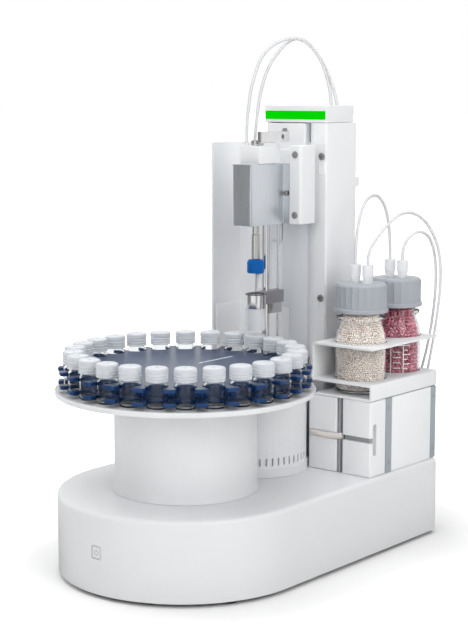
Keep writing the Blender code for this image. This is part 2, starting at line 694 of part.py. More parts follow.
def make_oven(finishes):
    """The oven's housing behind the pedestal, open below, with a row of vents above its foot ring."""
    centre = (0.0, NEEDLE_Y)
    top = DISC_BOTTOM - RUNNING_GAP
    ring_radius = OVEN_RADIUS + OVEN_RING
    ring_top = TOWER_BOTTOM + OVEN_RING_HEIGHT
    inner = OVEN_RADIUS - OVEN_WALL
    profile = [(inner, top - OVEN_WALL), (inner, TOWER_BOTTOM), (ring_radius, TOWER_BOTTOM), (ring_radius, ring_top),
               (OVEN_RADIUS, ring_top), (OVEN_RADIUS, top)]
    housing = place("oven_housing", turned(profile, ROUND_SEGMENTS, centre), finishes["housing"])
    pedestal_room = PEDESTAL_RADIUS + PEDESTAL_FLARE + GAP
    cut(housing, turned([(pedestal_room, TOWER_BOTTOM - OVERRUN), (pedestal_room, top + OVERRUN)], FINE_SEGMENTS),
        "pedestal_room")
    vent_bottom = ring_top + VENT_ABOVE_RING
    for i in range(VENT_COUNT):
        angle = VENT_MIDDLE + (i - (VENT_COUNT - 1) / 2) * VENT_PITCH
        vent = block((inner - OVERRUN, OVEN_RADIUS + OVERRUN), (-VENT_WIDTH / 2, VENT_WIDTH / 2),
                     (vent_bottom, vent_bottom + VENT_HEIGHT))
        cutter = place(f"oven_housing_vent_{i + 1}", vent, finishes["housing"])
        cutter.location = (centre[0], centre[1], 0.0)
        cutter.rotation_euler = (0.0, 0.0, angle)
        joiner(housing, cutter, "DIFFERENCE")


def make_column(finishes):
    """The tower's aluminium column with an open channel for the lift screw, and the screw."""
    channel_left = CHANNEL_X - CHANNEL_WIDTH / 2
    channel_right = CHANNEL_X + CHANNEL_WIDTH / 2
    rear = COLUMN_FRONT + COLUMN_DEPTH
    floor = COLUMN_FRONT + CHANNEL_DEPTH
    outline = [(COLUMN_LEFT, COLUMN_FRONT), (channel_left, COLUMN_FRONT), (channel_left, floor),
               (channel_right, floor), (channel_right, COLUMN_FRONT), (COLUMN_RIGHT, COLUMN_FRONT),
               (COLUMN_RIGHT, rear), (COLUMN_LEFT, rear)]
    place("tower_column", prism(outline, TOWER_BOTTOM, COLUMN_TOP), finishes["column"], smooth=False)
    axis = (CHANNEL_X, COLUMN_FRONT + SCREW_BEHIND_FRONT)
    screw = turned([(SCREW_RADIUS, TOWER_BOTTOM), (SCREW_RADIUS, COLUMN_TOP)], MEDIUM_SEGMENTS, axis)
    place("lift_screw", screw, finishes["steel"], (*axis, TOWER_BOTTOM))


def make_shroud(finishes):
    """The tower's white sheet: a box round the column, a wing on its left, a low guard and a strip with screws."""
    post_round = (POST_LEFT + POST_ROUNDING, SHROUD_FRONT + POST_ROUNDING)
    corner = arc(post_round, POST_ROUNDING, math.pi, 3 * math.pi / 2, 5)
    path = [(SHROUD_LEFT, WALL_FRONT + SHEET / 2), (SHROUD_LEFT, SHROUD_REAR), (SHROUD_RIGHT, SHROUD_REAR),
            (SHROUD_RIGHT, SHROUD_FRONT)] + corner[::-1] + [(POST_LEFT, post_round[1] + POST_RETURN)]
    shroud = place("tower_shroud", prism(folded_sheet(path, -SHEET), TOWER_BOTTOM, COLUMN_TOP), finishes["sheet"])
    wing_top = TOWER_BOTTOM + WING_HEIGHT
    wall_rear = WALL_FRONT + SHEET
    wing = folded_sheet([(WING_X, WING_FRONT), (WING_X, wall_rear), (SHROUD_LEFT + SHEET, wall_rear)], -SHEET)
    join(shroud, prism(wing, TOWER_BOTTOM, wing_top), "wing")
    guard_x = WING_X + SHEET - GUARD_SINK
    guard_rear = WALL_FRONT + GUARD_SINK
    guard = folded_sheet([(guard_x, WING_FRONT + GUARD_FRONT_INSET), (guard_x, guard_rear), (GUARD_RIGHT, guard_rear)],
                         -GUARD_SHEET)
    join(shroud, prism(guard, TOWER_BOTTOM, TOWER_BOTTOM + GUARD_HEIGHT), "guard")
    strip_front = SHROUD_FRONT - STRIP_PROUD
    strip = block((STRIP_LEFT, SHROUD_RIGHT - STRIP_PROUD), (strip_front, SHROUD_FRONT + SHEET / 2),
                  (TOWER_BOTTOM, wing_top))
    join(shroud, strip, "strip")
    for i, drop in enumerate(STRIP_SCREWS_BELOW_TOP):
        add_strip_screw(shroud, wing_top - drop, strip_front, i + 1)
    clip_bottom = TOWER_BOTTOM + CLIP_ABOVE_BASE
    clip = block((SHROUD_RIGHT - CLIP_THICKNESS, SHROUD_RIGHT), (SHROUD_REAR - SHEET, SHROUD_REAR + CLIP_DEPTH),
                 (clip_bottom, clip_bottom + CLIP_HEIGHT))
    join(shroud, clip, "clip")


def add_strip_screw(shroud, centre_z, strip_front, number):
    """A screw head on the strip and the shallow recess below it."""
    notch_top = centre_z - NOTCH_TOP
    notch = block((SHROUD_RIGHT - NOTCH_WIDTH, SHROUD_RIGHT + OVERRUN),
                  (strip_front - OVERRUN, strip_front + NOTCH_DEPTH), (notch_top - NOTCH_HEIGHT, notch_top))
    cut(shroud, notch, f"notch_{number}")
    head = cross_bore(SCREW_HEAD_RADIUS, (STRIP_SCREW_X, strip_front - SCREW_HEAD_PROUD, centre_z),
                      (STRIP_SCREW_X, SHROUD_FRONT, centre_z))
    join(shroud, head, f"screw_{number}")


def make_top_cap(finishes):
    """The tower's cap with its light strip and two tube ports."""
    outline = rounded_rectangle((-CAP_HALF_WIDTH, CAP_HALF_WIDTH), (SHROUD_FRONT, CAP_REAR), CAP_ROUNDING, 3)
    cap = place("top_cap", prism(outline, CAP_BOTTOM, CAP_TOP), finishes["sheet"])
    light_top = CAP_TOP - LIGHT_BELOW_TOP
    half = CAP_HALF_WIDTH - LIGHT_SIDE_INSET
    pocket = block((-half - GAP, half + GAP), (SHROUD_FRONT - OVERRUN, SHROUD_FRONT + LIGHT_DEPTH + GAP),
                   (light_top - LIGHT_HEIGHT - GAP, light_top + GAP))
    cut(cap, pocket, "light_pocket")
    for i, spot in enumerate(PORT_SPOTS):
        port = turned([(PORT_RADIUS, CAP_TOP - PORT_DEPTH), (PORT_RADIUS, CAP_TOP + OVERRUN)], SMALL_SEGMENTS, spot)
        cut(cap, port, f"port_{i + 1}")
    lens = block((-half, half), (SHROUD_FRONT - LIGHT_PROUD, SHROUD_FRONT + LIGHT_DEPTH),
                 (light_top - LIGHT_HEIGHT, light_top))
    place("status_light", lens, finishes["light"], smooth=False)


def make_lift_bracket(finishes):
    """The carriage plate with its nut on the screw, and the white bracket that carries the head."""
    carriage_front = CARRIAGE_REAR - CARRIAGE_DEPTH
    carriage = block((COLUMN_LEFT, CARRIAGE_RIGHT), (carriage_front, CARRIAGE_REAR),
                     (HEAD_Z, COLUMN_TOP - CARRIAGE_TOP_GAP))
    item = place("lift_bracket", carriage, finishes["sheet"], smooth=False)
    bracket_top = HEAD_Z + BRACKET_HEIGHT
    join(item, block((BRACKET_LEFT, BRACKET_RIGHT), (BRACKET_FRONT, BRACKET_REAR), (HEAD_Z, bracket_top)), "plate")
    bridge = block((BRACKET_BRIDGE_LEFT, BRACKET_BRIDGE_RIGHT), (BRACKET_BRIDGE_FRONT, carriage_front + GAP),
                   (HEAD_Z + BRACKET_BRIDGE_INSET, bracket_top - BRACKET_BRIDGE_INSET))
    join(item, bridge, "bridge")
    tongue_bottom = HEAD_Z + TONGUE_RISE
    axis_y = COLUMN_FRONT + SCREW_BEHIND_FRONT
    tongue = block((CHANNEL_X - TONGUE_WIDTH / 2, CHANNEL_X + TONGUE_WIDTH / 2),
                   (CARRIAGE_REAR - GAP, axis_y + TONGUE_END), (tongue_bottom, tongue_bottom + TONGUE_HEIGHT))
    join(item, tongue, "tongue")
    bore = SCREW_RADIUS + NUT_CLEARANCE
    cut(item, turned([(bore, tongue_bottom - OVERRUN), (bore, tongue_bottom + TONGUE_HEIGHT + OVERRUN)],
                     MEDIUM_SEGMENTS, (CHANNEL_X, axis_y)), "screw_bore")
    screw_x = (BRACKET_LEFT + BRACKET_RIGHT) / 2
    for i, z in enumerate((HEAD_Z + BRACKET_SCREW_INSET, bracket_top - BRACKET_SCREW_INSET)):
        head = cross_bore(SCREW_HEAD_RADIUS, (screw_x, BRACKET_FRONT - SCREW_HEAD_PROUD / 2, z),
                          (screw_x, BRACKET_FRONT + SCREW_HEAD_PROUD, z))
        join(item, head, f"screw_{i + 1}")


def make_head_cover(finishes):
    """The grey cover on the front of the head, open below and behind, with a flange on its right."""
    cover = place("head_cover", block((-COVER_HALF_WIDTH, COVER_HALF_WIDTH), (COVER_FRONT, COVER_REAR),
                                      (HEAD_Z, COVER_TOP)), finishes["grey"], smooth=False)
    inner = COVER_HALF_WIDTH - COVER_WALL
    cut(cover, block((-inner, inner), (COVER_FRONT + COVER_WALL, COVER_REAR + OVERRUN),
                     (HEAD_Z - OVERRUN, COVER_TOP - COVER_WALL)), "hollow")
    cut(cover, block((-inner, inner), (BODY_FRONT - GAP, COVER_REAR + OVERRUN),
                     (COVER_TOP - COVER_WALL * 2, COVER_TOP + OVERRUN)), "body_opening")
    flange = block((inner, COVER_HALF_WIDTH + COVER_FLANGE), (COVER_REAR - COVER_WALL, COVER_REAR), (HEAD_Z, COVER_TOP))
    join(cover, flange, "flange")


def make_head_body(finishes):
    """The white body inside the cover, with its block on top and bores for the needle holder and the guide rods."""
    half = COVER_HALF_WIDTH - COVER_WALL - GAP
    core = block((-half, half), (COVER_FRONT + COVER_WALL + GAP, COVER_REAR + COVER_WALL),
                 (HEAD_Z, COVER_TOP - COVER_WALL - GAP))
    item = place("head_body", core, finishes["sheet"], smooth=False)
    block_bottom = COVER_TOP + GAP
    stem = block((-half, half), (BODY_FRONT, COVER_REAR), (HEAD_Z + COVER_HEIGHT / 2, block_bottom + GAP))
    join(item, stem, "stem")
    join(item, block((-BODY_LEFT, BODY_RIGHT), (BODY_FRONT, BODY_TOP_REAR), (block_bottom, BODY_TOP)), "top")
    join(item, block((-BODY_LEFT, BODY_NECK_RIGHT), (BODY_TOP_REAR - GAP, COVER_REAR), (block_bottom, BODY_TOP)),
         "neck")
    leg = block((BRACKET_BRIDGE_LEFT, BODY_LEG_RIGHT), (COVER_REAR + GAP, BRACKET_BRIDGE_FRONT - GAP),
                (HEAD_Z, HEAD_Z + BODY_LEG_HEIGHT))
    join(item, leg, "leg")
    bores = [("needle_bore", HOLDER_STEP_RADIUS, (0.0, NEEDLE_Y), BODY_TOP + OVERRUN),
             ("rod_bore", ROD_RADIUS, (ROD_X, ROD_Y), HEAD_Z + ROD_BORE_DEPTH),
             ("thin_rod_bore", THIN_ROD_RADIUS, (ROD_X, THIN_ROD_Y), HEAD_Z + ROD_BORE_DEPTH)]
    for label, radius, spot, top in bores:
        bore = turned([(radius + BORE_CLEARANCE, HEAD_Z - OVERRUN), (radius + BORE_CLEARANCE, top)],
                      MEDIUM_SEGMENTS, spot)
        cut(item, bore, label)


def make_needle(finishes):
    """The steel holder with its needle and the clamp bar on the head, and the blue nut below."""
    nut_top = HEAD_Z - NUT_TOP_BELOW_HEAD
    tip = HEAD_Z - NEEDLE_TIP_BELOW_HEAD
    step = HEAD_Z - HOLDER_STEP_BELOW_HEAD
    collar_bottom = BODY_TOP + GAP
    collar_top = collar_bottom + COLLAR_HEIGHT
    axis = (0.0, NEEDLE_Y)
    profile = [(NEEDLE_RADIUS / 4, tip), (NEEDLE_RADIUS, tip + NEEDLE_POINT), (NEEDLE_RADIUS, nut_top + GAP),
               (HOLDER_RADIUS, nut_top + GAP), (HOLDER_RADIUS, step), (HOLDER_STEP_RADIUS, step),
               (HOLDER_STEP_RADIUS, collar_bottom), (COLLAR_RADIUS, collar_bottom), (COLLAR_RADIUS, collar_top)]
    holder = place("needle_holder", turned(profile, MEDIUM_SEGMENTS, axis), finishes["steel"])
    clamp_bottom = BODY_TOP + CLAMP_RISE
    clamp_top = clamp_bottom + CLAMP_HEIGHT
    web = block((0.0, CLAMP_LEFT + GAP), (NEEDLE_Y - HOLDER_STEP_RADIUS, NEEDLE_Y + HOLDER_STEP_RADIUS),
                (collar_bottom + GAP, collar_top - GAP))
    join(holder, web, "web")
    join(holder, block((CLAMP_LEFT, CLAMP_RIGHT), (CLAMP_FRONT, CLAMP_REAR), (clamp_bottom, clamp_top)), "clamp")
    knob_spot = ((CLAMP_LEFT + CLAMP_RIGHT) / 2, CLAMP_REAR - KNOB_RADIUS * 2)
    join(holder, turned([(KNOB_RADIUS, clamp_top - GAP), (KNOB_RADIUS, clamp_top + KNOB_HEIGHT)], SMALL_SEGMENTS,
                        knob_spot), "knob")
    bore = NEEDLE_RADIUS + BORE_CLEARANCE
    nut_bottom = nut_top - NUT_HEIGHT
    nut = [(bore, nut_bottom), (NUT_RADIUS, nut_bottom), (NUT_RADIUS, nut_top - NUT_CHAMFER),
           (NUT_TOP_RADIUS, nut_top), (bore, nut_top)]
    place("needle_nut", turned(nut, MEDIUM_SEGMENTS, axis, ring=True), finishes["nut"])


def make_hold_down(finishes):
    """The sleeve that presses on a vial's cap, with the bar and tab that run on the guide rods."""
    top = HEAD_Z - SLEEVE_TOP_BELOW_HEAD
    step = top - SLEEVE_UPPER_HEIGHT
    bottom = top - SLEEVE_HEIGHT
    axis = (0.0, NEEDLE_Y)
    profile = [(SLEEVE_LOWER_RADIUS, bottom), (SLEEVE_LOWER_RADIUS, step), (SLEEVE_RADIUS, step), (SLEEVE_RADIUS, top)]
    item = place("hold_down_sleeve", turned(profile, MEDIUM_SEGMENTS, axis), finishes["steel"])
    bar_bottom = top - GAP - BAR_HEIGHT
    join(item, block((BAR_LEFT, BAR_RIGHT), (BAR_FRONT, BAR_REAR), (bar_bottom, top - GAP)), "bar")
    tab = block((BAR_RIGHT - TAB_THICKNESS, BAR_RIGHT - GAP / 2), (TAB_FRONT, TAB_REAR),
                (bar_bottom - TAB_HEIGHT, bar_bottom + GAP))
    join(item, tab, "tab")
    bores = [("vial_bore", SLEEVE_BORE, axis), ("rod_bore", ROD_RADIUS + BORE_CLEARANCE, (ROD_X, ROD_Y)),
             ("thin_rod_bore", THIN_ROD_RADIUS + BORE_CLEARANCE, (ROD_X, THIN_ROD_Y))]
    for label, radius, spot in bores:
        cut(item, turned([(radius, bottom - OVERRUN), (radius, top + OVERRUN)], MEDIUM_SEGMENTS, spot), label)


def make_guide_rods(finishes):
    """Two upright rods on a bracket that comes off the column's front, above the disc."""
    bottom = DISC_TOP + ROD_FOOT_ABOVE_DISC
    foot_top = bottom + ROD_FOOT_HEIGHT
    foot = block((BAR_LEFT, BAR_RIGHT), (ROD_FOOT_FRONT, BAR_REAR), (bottom, foot_top))
    item = place("guide_rods", foot, finishes["steel"])
    arm = block((GUARD_RIGHT + GAP, BAR_RIGHT), (BAR_REAR - OVERRUN, COLUMN_FRONT - GAP), (bottom, foot_top))
    join(item, arm, "arm")
    for label, radius, y in (("rod", ROD_RADIUS, ROD_Y), ("thin_rod", THIN_ROD_RADIUS, THIN_ROD_Y)):
        rod = turned([(radius, foot_top - GAP), (radius, HEAD_Z + ROD_ENGAGEMENT)], MEDIUM_SEGMENTS, (ROD_X, y))
        join(item, rod, label)


def make_gas_unit(finishes):
    """The drying unit: grey frame, two white front covers and a white side panel."""
    cover_rear = UNIT_FRONT + UNIT_COVER_DEPTH
    heights = (UNIT_BOTTOM, UNIT_TOP)
    left_end = UNIT_LEFT + UNIT_LEFT_COVER_WIDTH
    groove_z = UNIT_BOTTOM + GROOVE_RISE
    outline = rounded_rectangle((UNIT_LEFT, left_end), (UNIT_FRONT, cover_rear), UNIT_ROUNDING, 2)
    left = place("gas_unit_left_cover", prism(outline, *heights), finishes["sheet"])
    plate_left = left_end + UNIT_SEAM_GAP
    right_start = plate_left + UNIT_SEAM_PLATE + UNIT_SEAM_GAP
    transfer_y = UNIT_FRONT + TRANSFER_SINK
    tube = [(transfer_y + TRANSFER_RADIUS * math.cos(2 * math.pi * i / SMALL_SEGMENTS),
             groove_z + TRANSFER_RADIUS * math.sin(2 * math.pi * i / SMALL_SEGMENTS)) for i in range(SMALL_SEGMENTS)]
    join(left, loops_to_body([[(x, y, z) for y, z in tube] for x in (UNIT_LEFT + UNIT_ROUNDING, left_end)]),
         "transfer_tube")
    outline = rounded_rectangle((right_start, UNIT_RIGHT), (UNIT_FRONT, cover_rear), UNIT_ROUNDING, 2)
    right = place("gas_unit_right_cover", prism(outline, *heights), finishes["sheet"])
    groove_heights = (groove_z - GROOVE_WIDTH / 2, groove_z + GROOVE_WIDTH / 2)
    cut(right, block((right_start - OVERRUN, UNIT_RIGHT + OVERRUN), (UNIT_FRONT - OVERRUN, UNIT_FRONT + GROOVE_DEPTH),
                     groove_heights), "groove")
    slot_front = UNIT_FRONT + SLOT_INSET
    slot = block((UNIT_RIGHT - GROOVE_DEPTH, UNIT_RIGHT + OVERRUN), (slot_front, slot_front + SLOT_WIDTH),
                 (groove_z - SLOT_HEIGHT / 2, groove_z + SLOT_HEIGHT / 2))
    cut(right, slot, "slot")
    make_gas_unit_body(finishes, cover_rear + GAP, plate_left)


def make_gas_unit_body(finishes, front, plate_left):
    """The drying unit's frame, with the seam plate in front, a port block behind and its side panel."""
    body = place("gas_unit_body", block((UNIT_LEFT, UNIT_RIGHT), (front, UNIT_REAR), (UNIT_BOTTOM, UNIT_TOP)),
                 finishes["frame"], smooth=False)
    plate = block((plate_left, plate_left + UNIT_SEAM_PLATE), (UNIT_FRONT + UNIT_ROUNDING, front + GAP),
                  (UNIT_BOTTOM, UNIT_TOP))
    join(body, plate, "seam_plate")
    panel_range = (front + UNIT_STRIP, UNIT_REAR - UNIT_STRIP)
    inner = UNIT_RIGHT - PANEL_THICKNESS
    recess = block((inner, UNIT_RIGHT + OVERRUN), panel_range, (UNIT_BOTTOM - OVERRUN, UNIT_TOP + OVERRUN))
    cut(body, recess, "panel_recess")
    panel = block((inner + GAP, UNIT_RIGHT), (panel_range[0] + GAP, panel_range[1] - GAP), (UNIT_BOTTOM, UNIT_TOP))
    place("gas_unit_side_panel", panel, finishes["sheet"], smooth=False)
    block_bottom = UNIT_BOTTOM + PORT_BLOCK_RISE
    block_top = block_bottom + PORT_BLOCK_HEIGHT
    ports = block((BARB_X - PORT_BLOCK_WIDTH / 2, BARB_X + PORT_BLOCK_WIDTH / 2),
                  (UNIT_REAR - GAP, UNIT_REAR + PORT_BLOCK_DEPTH), (block_bottom, block_top))
    join(body, ports, "port_block")
    for i, side in enumerate((-1, 1)):
        barb = turned([(BARB_RADIUS, block_top - GAP), (BARB_RADIUS, block_top + BARB_HEIGHT)], SMALL_SEGMENTS,
                      (BARB_X + side * BARB_SPACING / 2, BARB_Y))
        join(body, barb, f"barb_{i + 1}")


def make_bottle_holder(finishes):
    """One sheet bent into an S: a foot plate, a right band, a tray plate, a left wall and an upper plate."""
    tray_top = HOLDER_BOTTOM + TRAY_HEIGHT
    upper_top = HOLDER_BOTTOM + UPPER_PLATE_HEIGHT
    path = [(HOLDER_FOOT_LEFT, HOLDER_BOTTOM), (HOLDER_RIGHT, HOLDER_BOTTOM), (HOLDER_RIGHT, tray_top),
            (HOLDER_LEFT + HOLDER_SHEET, tray_top), (HOLDER_LEFT + HOLDER_SHEET, upper_top - HOLDER_SHEET),
            (HOLDER_RIGHT, upper_top - HOLDER_SHEET)]
    outline = folded_sheet(path, HOLDER_SHEET)
    holder = place("bottle_holder", side_prism(outline, (UNIT_FRONT, HOLDER_REAR)), finishes["sheet"], smooth=False)
    radius = BOTTLE_RADIUS + HOLE_CLEARANCE
    for i, y in enumerate(BOTTLE_YS):
        hole = turned([(radius, tray_top - HOLDER_SHEET - OVERRUN), (radius, upper_top + OVERRUN)], ROUND_SEGMENTS,
                      (BOTTLE_X, y))
        cut(holder, hole, f"hole_{i + 1}")


def make_bottles(finishes):
    """Two filled drying bottles with ribbed screw caps, each cap with two hose fittings."""
    foot = BOTTLE_RADIUS - BOTTLE_FOOT_ROUNDING
    profile = [(foot, 0.0), (BOTTLE_RADIUS - BOTTLE_FOOT_ROUNDING / 3, BOTTLE_FOOT_ROUNDING / 3),
               (BOTTLE_RADIUS, BOTTLE_FOOT_ROUNDING), (BOTTLE_RADIUS, BOTTLE_BODY_HEIGHT),
               ((BOTTLE_RADIUS * 2 + BOTTLE_NECK_RADIUS) / 3, (BOTTLE_BODY_HEIGHT + BOTTLE_SHOULDER_HEIGHT) / 2),
               (BOTTLE_NECK_RADIUS, BOTTLE_SHOULDER_HEIGHT), (BOTTLE_NECK_RADIUS, BOTTLE_RING_Z - BOTTLE_RING_HALF),
               (BOTTLE_RING_RADIUS, BOTTLE_RING_Z), (BOTTLE_NECK_RADIUS, BOTTLE_RING_Z + BOTTLE_RING_HALF),
               (BOTTLE_MOUTH_RADIUS, BOTTLE_THREAD_Z), (BOTTLE_MOUTH_RADIUS, BOTTLE_HEIGHT)]
    for number, (y, fill) in enumerate(zip(BOTTLE_YS, ("cream", "crimson")), start=1):
        solid = [(r, z + BOTTLE_BOTTOM) for r, z in profile]
        place(f"drying_bottle_{number}", turned(solid, ROUND_SEGMENTS, (BOTTLE_X, y)), finishes[fill],
              (BOTTLE_X, y, BOTTLE_BOTTOM))
        make_bottle_cap(finishes, number, y)


def ribbed_circle(radius, z, centre, depth):
    """A level circle whose every second point is drawn in by a depth."""
    points = circle(radius, z, RIB_COUNT * 2, centre)
    drawn_in = circle(radius - depth, z, RIB_COUNT * 2, centre)
    return [drawn_in[i] if i % 2 else point for i, point in enumerate(points)]


def make_bottle_cap(finishes, number, y):
    """A ribbed cap over the bottle's mouth with two hose fittings on top."""
    centre = (BOTTLE_X, y)
    top = CAP_SEAT + BOTTLE_CAP_HEIGHT
    ring_top = CAP_SEAT + CAP_RING_HEIGHT
    inner = BOTTLE_MOUTH_RADIUS + GAP
    ceiling = max(top - BOTTLE_CAP_TOP, BOTTLE_BOTTOM + BOTTLE_HEIGHT + GAP)
    rows = [(inner, ceiling, 0.0), (inner, CAP_SEAT, 0.0), (CAP_RING_RADIUS - RIB_DEPTH, CAP_SEAT, 0.0),
            (CAP_RING_RADIUS, CAP_SEAT + RIB_DEPTH, 0.0), (CAP_RING_RADIUS, ring_top - RIB_DEPTH, 0.0),
            (BOTTLE_CAP_RADIUS, ring_top, RIB_DEPTH), (BOTTLE_CAP_RADIUS, top - BOTTLE_CAP_EDGE, RIB_DEPTH),
            (BOTTLE_CAP_RADIUS - BOTTLE_CAP_EDGE, top, 0.0)]
    body = loops_to_body([ribbed_circle(radius, z, centre, depth) for radius, z, depth in rows])
    cap = place(f"bottle_cap_{number}", body, finishes["bottle_cap"], (*centre, CAP_SEAT))
    fitting_top = top + FITTING_HEIGHT
    for side, radius in zip((-1, 1), FITTING_RADII):
        spot = (BOTTLE_X + side * FITTING_OFFSET, y)
        fitting = [(radius, top - GAP), (radius, fitting_top - FITTING_NOSE_HEIGHT),
                   (FITTING_NOSE_RADIUS, fitting_top - FITTING_NOSE_HEIGHT), (FITTING_NOSE_RADIUS, fitting_top)]
        join(cap, turned(fitting, SMALL_SEGMENTS, spot), "left_fitting" if side < 0 else "right_fitting")


def smooth_route(route, step):
    """Points a set distance apart along a smooth curve through a route's own points."""
    points = [Vector(point) for point in route]
    padded = [points[0] * 2 - points[1]] + points + [points[-1] * 2 - points[-2]]
    result = []
    for before, start, end, after in zip(padded, padded[1:], padded[2:], padded[3:]):
        count = max(1, round((end - start).length / step))
        for i in range(count):
            t = i / count
            result.append(0.5 * (2 * start + (end - before) * t + (2 * before - 5 * start + 4 * end - after) * t ** 2
                                 + (3 * start - before - 3 * end + after) * t ** 3))
    return result + [points[-1]]


def make_tube(name, start, route, end, finishes):
    """A soft tube from one point through a route to another, straight where it leaves either end."""
    leads = (Vector(start), Vector(start) + Vector((0.0, 0.0, TUBE_LEAD)))
    ends = (Vector(end) + Vector((0.0, 0.0, TUBE_LEAD)), Vector(end))
    points = smooth_route([*leads, *route, *ends], TUBE_RADIUS * TUBE_STEP_SHARE)
    curve = bpy.data.curves.new(name, "CURVE")
    curve.dimensions = "3D"
    curve.bevel_depth = TUBE_RADIUS
    curve.bevel_resolution = 2
    curve.use_fill_caps = True
    spline = curve.splines.new("POLY")
    spline.points.add(len(points) - 1)
    for spline_point, point in zip(spline.points, points):
        spline_point.co = (*point, 1.0)
    curve.materials.append(finishes["tube"])
    item = bpy.data.objects.new(name, curve)
    bpy.context.collection.objects.link(item)


def make_tubes(finishes):
    """Two tubes from the head to the cap, one between the bottles and two down to the port block."""
    port_floor = CAP_TOP - PORT_DEPTH + GAP
    for name, y, route, spot in (("head_tube_front", HEAD_TUBE_YS[0], HEAD_TUBE_FRONT, PORT_SPOTS[0]),
                                 ("head_tube_rear", HEAD_TUBE_YS[1], HEAD_TUBE_REAR, PORT_SPOTS[1])):
        make_tube(name, (HEAD_TUBE_X, y, BODY_TOP + GAP), route, (*spot, port_floor), finishes)
    left, right = BOTTLE_X - FITTING_OFFSET, BOTTLE_X + FITTING_OFFSET
    ends = [(left, y, FITTING_TOP + GAP) for y in BOTTLE_YS]
    make_tube("bottle_link_tube", ends[0], BOTTLE_LINK_TUBE, ends[1], finishes)
    barb_end = UNIT_BOTTOM + PORT_BLOCK_RISE + PORT_BLOCK_HEIGHT + BARB_HEIGHT + GAP
    for name, y, route, side in (("first_gas_tube", BOTTLE_YS[0], FIRST_GAS_TUBE, 1),
                                 ("second_gas_tube", BOTTLE_YS[1], SECOND_GAS_TUBE, -1)):
        barb = (BARB_X + side * BARB_SPACING / 2, BARB_Y, barb_end)
        make_tube(name, (right, y, FITTING_TOP + GAP), route, barb, finishes)


def move_forward():
    """Move every piece so that the part's middle in plan lies at the origin."""
    for item in bpy.context.collection.objects:
        item.location.y -= AXIS_SHIFT


def main():
    clear_scene()
    finishes = make_finishes()
    make_base(finishes)
    make_base_plate(finishes)
    make_power_key(finishes)
    make_pedestal(finishes)
    make_drive(finishes)
    make_turntable(finishes)
    make_vials(finishes)
    make_oven(finishes)
    make_column(finishes)
    make_shroud(finishes)
    make_top_cap(finishes)
    make_lift_bracket(finishes)
    make_head_cover(finishes)
    make_head_body(finishes)
    make_needle(finishes)
    make_hold_down(finishes)
    make_guide_rods(finishes)
    make_gas_unit(finishes)
    make_bottle_holder(finishes)
    make_bottles(finishes)
    make_tubes(finishes)
    move_forward()


main()
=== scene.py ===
"""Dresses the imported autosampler: fine surfaces and finishes for every visible piece, light and camera.

Lengths in this script are millimetres round the turntable's axis, with the floor at zero height.
to_frame turns them into metres and moves them to the part's own frame.
"""

import math

import bmesh
import bpy
import numpy as np
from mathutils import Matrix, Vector


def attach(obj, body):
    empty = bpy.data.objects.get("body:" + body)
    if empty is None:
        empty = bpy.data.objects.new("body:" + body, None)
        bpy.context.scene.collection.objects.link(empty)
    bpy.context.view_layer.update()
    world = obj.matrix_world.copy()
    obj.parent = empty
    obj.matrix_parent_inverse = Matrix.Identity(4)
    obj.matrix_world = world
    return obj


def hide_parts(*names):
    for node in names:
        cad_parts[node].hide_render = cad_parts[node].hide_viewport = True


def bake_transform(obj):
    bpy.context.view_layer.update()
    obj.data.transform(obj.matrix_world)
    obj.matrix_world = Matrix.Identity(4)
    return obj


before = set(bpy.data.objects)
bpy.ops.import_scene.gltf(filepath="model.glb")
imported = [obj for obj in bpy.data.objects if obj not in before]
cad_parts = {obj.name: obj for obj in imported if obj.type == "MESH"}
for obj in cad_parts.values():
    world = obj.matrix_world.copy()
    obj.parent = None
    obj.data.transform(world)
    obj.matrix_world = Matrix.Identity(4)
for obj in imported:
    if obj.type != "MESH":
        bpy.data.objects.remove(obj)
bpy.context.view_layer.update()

MM = 0.001
AXIS_Y = -81.0

# Heights
BASE_TOP = 86.6
TOWER_BOTTOM = 86.9
PEDESTAL_TOP = 186.6
DISC_BOTTOM = 187.4
DISC_SPLIT = 190.0
DISC_TOP = 192.9
RACK_BOTTOM = 193.2
RACK_TOP = 214.7
VIAL_BOTTOM = RACK_BOTTOM
WING_TOP = 438.9
COLUMN_TOP = 461.0
CAP_BOTTOM = 461.3
PORT_FLOOR = 474.0
CAP_TOP = 479.8
HEAD_Z = 353.1
COVER_TOP = 418.1
BODY_TOP = 437.6
SLEEVE_TOP = 278.4
UNIT_HEIGHTS = (TOWER_BOTTOM, 168.7)
BOTTLE_BOTTOM = 171.7
CAP_SEAT = 258.9

# Plan sizes
BASE_RADIUS = 133.4
BASE_REAR = 279.5
VIAL_CIRCLE = 115.0
VIAL_COUNT = 26
LOOSE_VIAL = 10  # the index of vial_11, the one that lifts out
BOTTLE_X = 89.0
BOTTLE_YS = (187.0, 254.0)
GLASS_RADIUS = 28.0
UNIT_DEPTH = (149.5, 278.5)
COVER_DEPTH = (149.5, 179)
UNIT_RIGHT = 129
TUBE_RADIUS = 1.6
TUBE_STEP = 3.0

# Upright lines that several pieces stand on: the needle's is the oven's and the sleeve's too
NEEDLE = (0.0, VIAL_CIRCLE)
THICK_ROD = (-7.0, 141.0)
THIN_ROD = (-7.0, 163.0)
THICK_BORE = 4.55
THIN_BORE = 1.8
LIFT_SCREW = (-28.0, 209.3)
HEAD_PORTS = ((-7.0, 108.0), (-7.0, 122.0))
CAP_PORTS = ((31.0, 208.0), (35.0, 213.0))

# The angle in degrees from which two faces meet in a sharp edge, and in metres how near corners become one
SHARP = 32.0
MERGE = 1e-7


# Camera

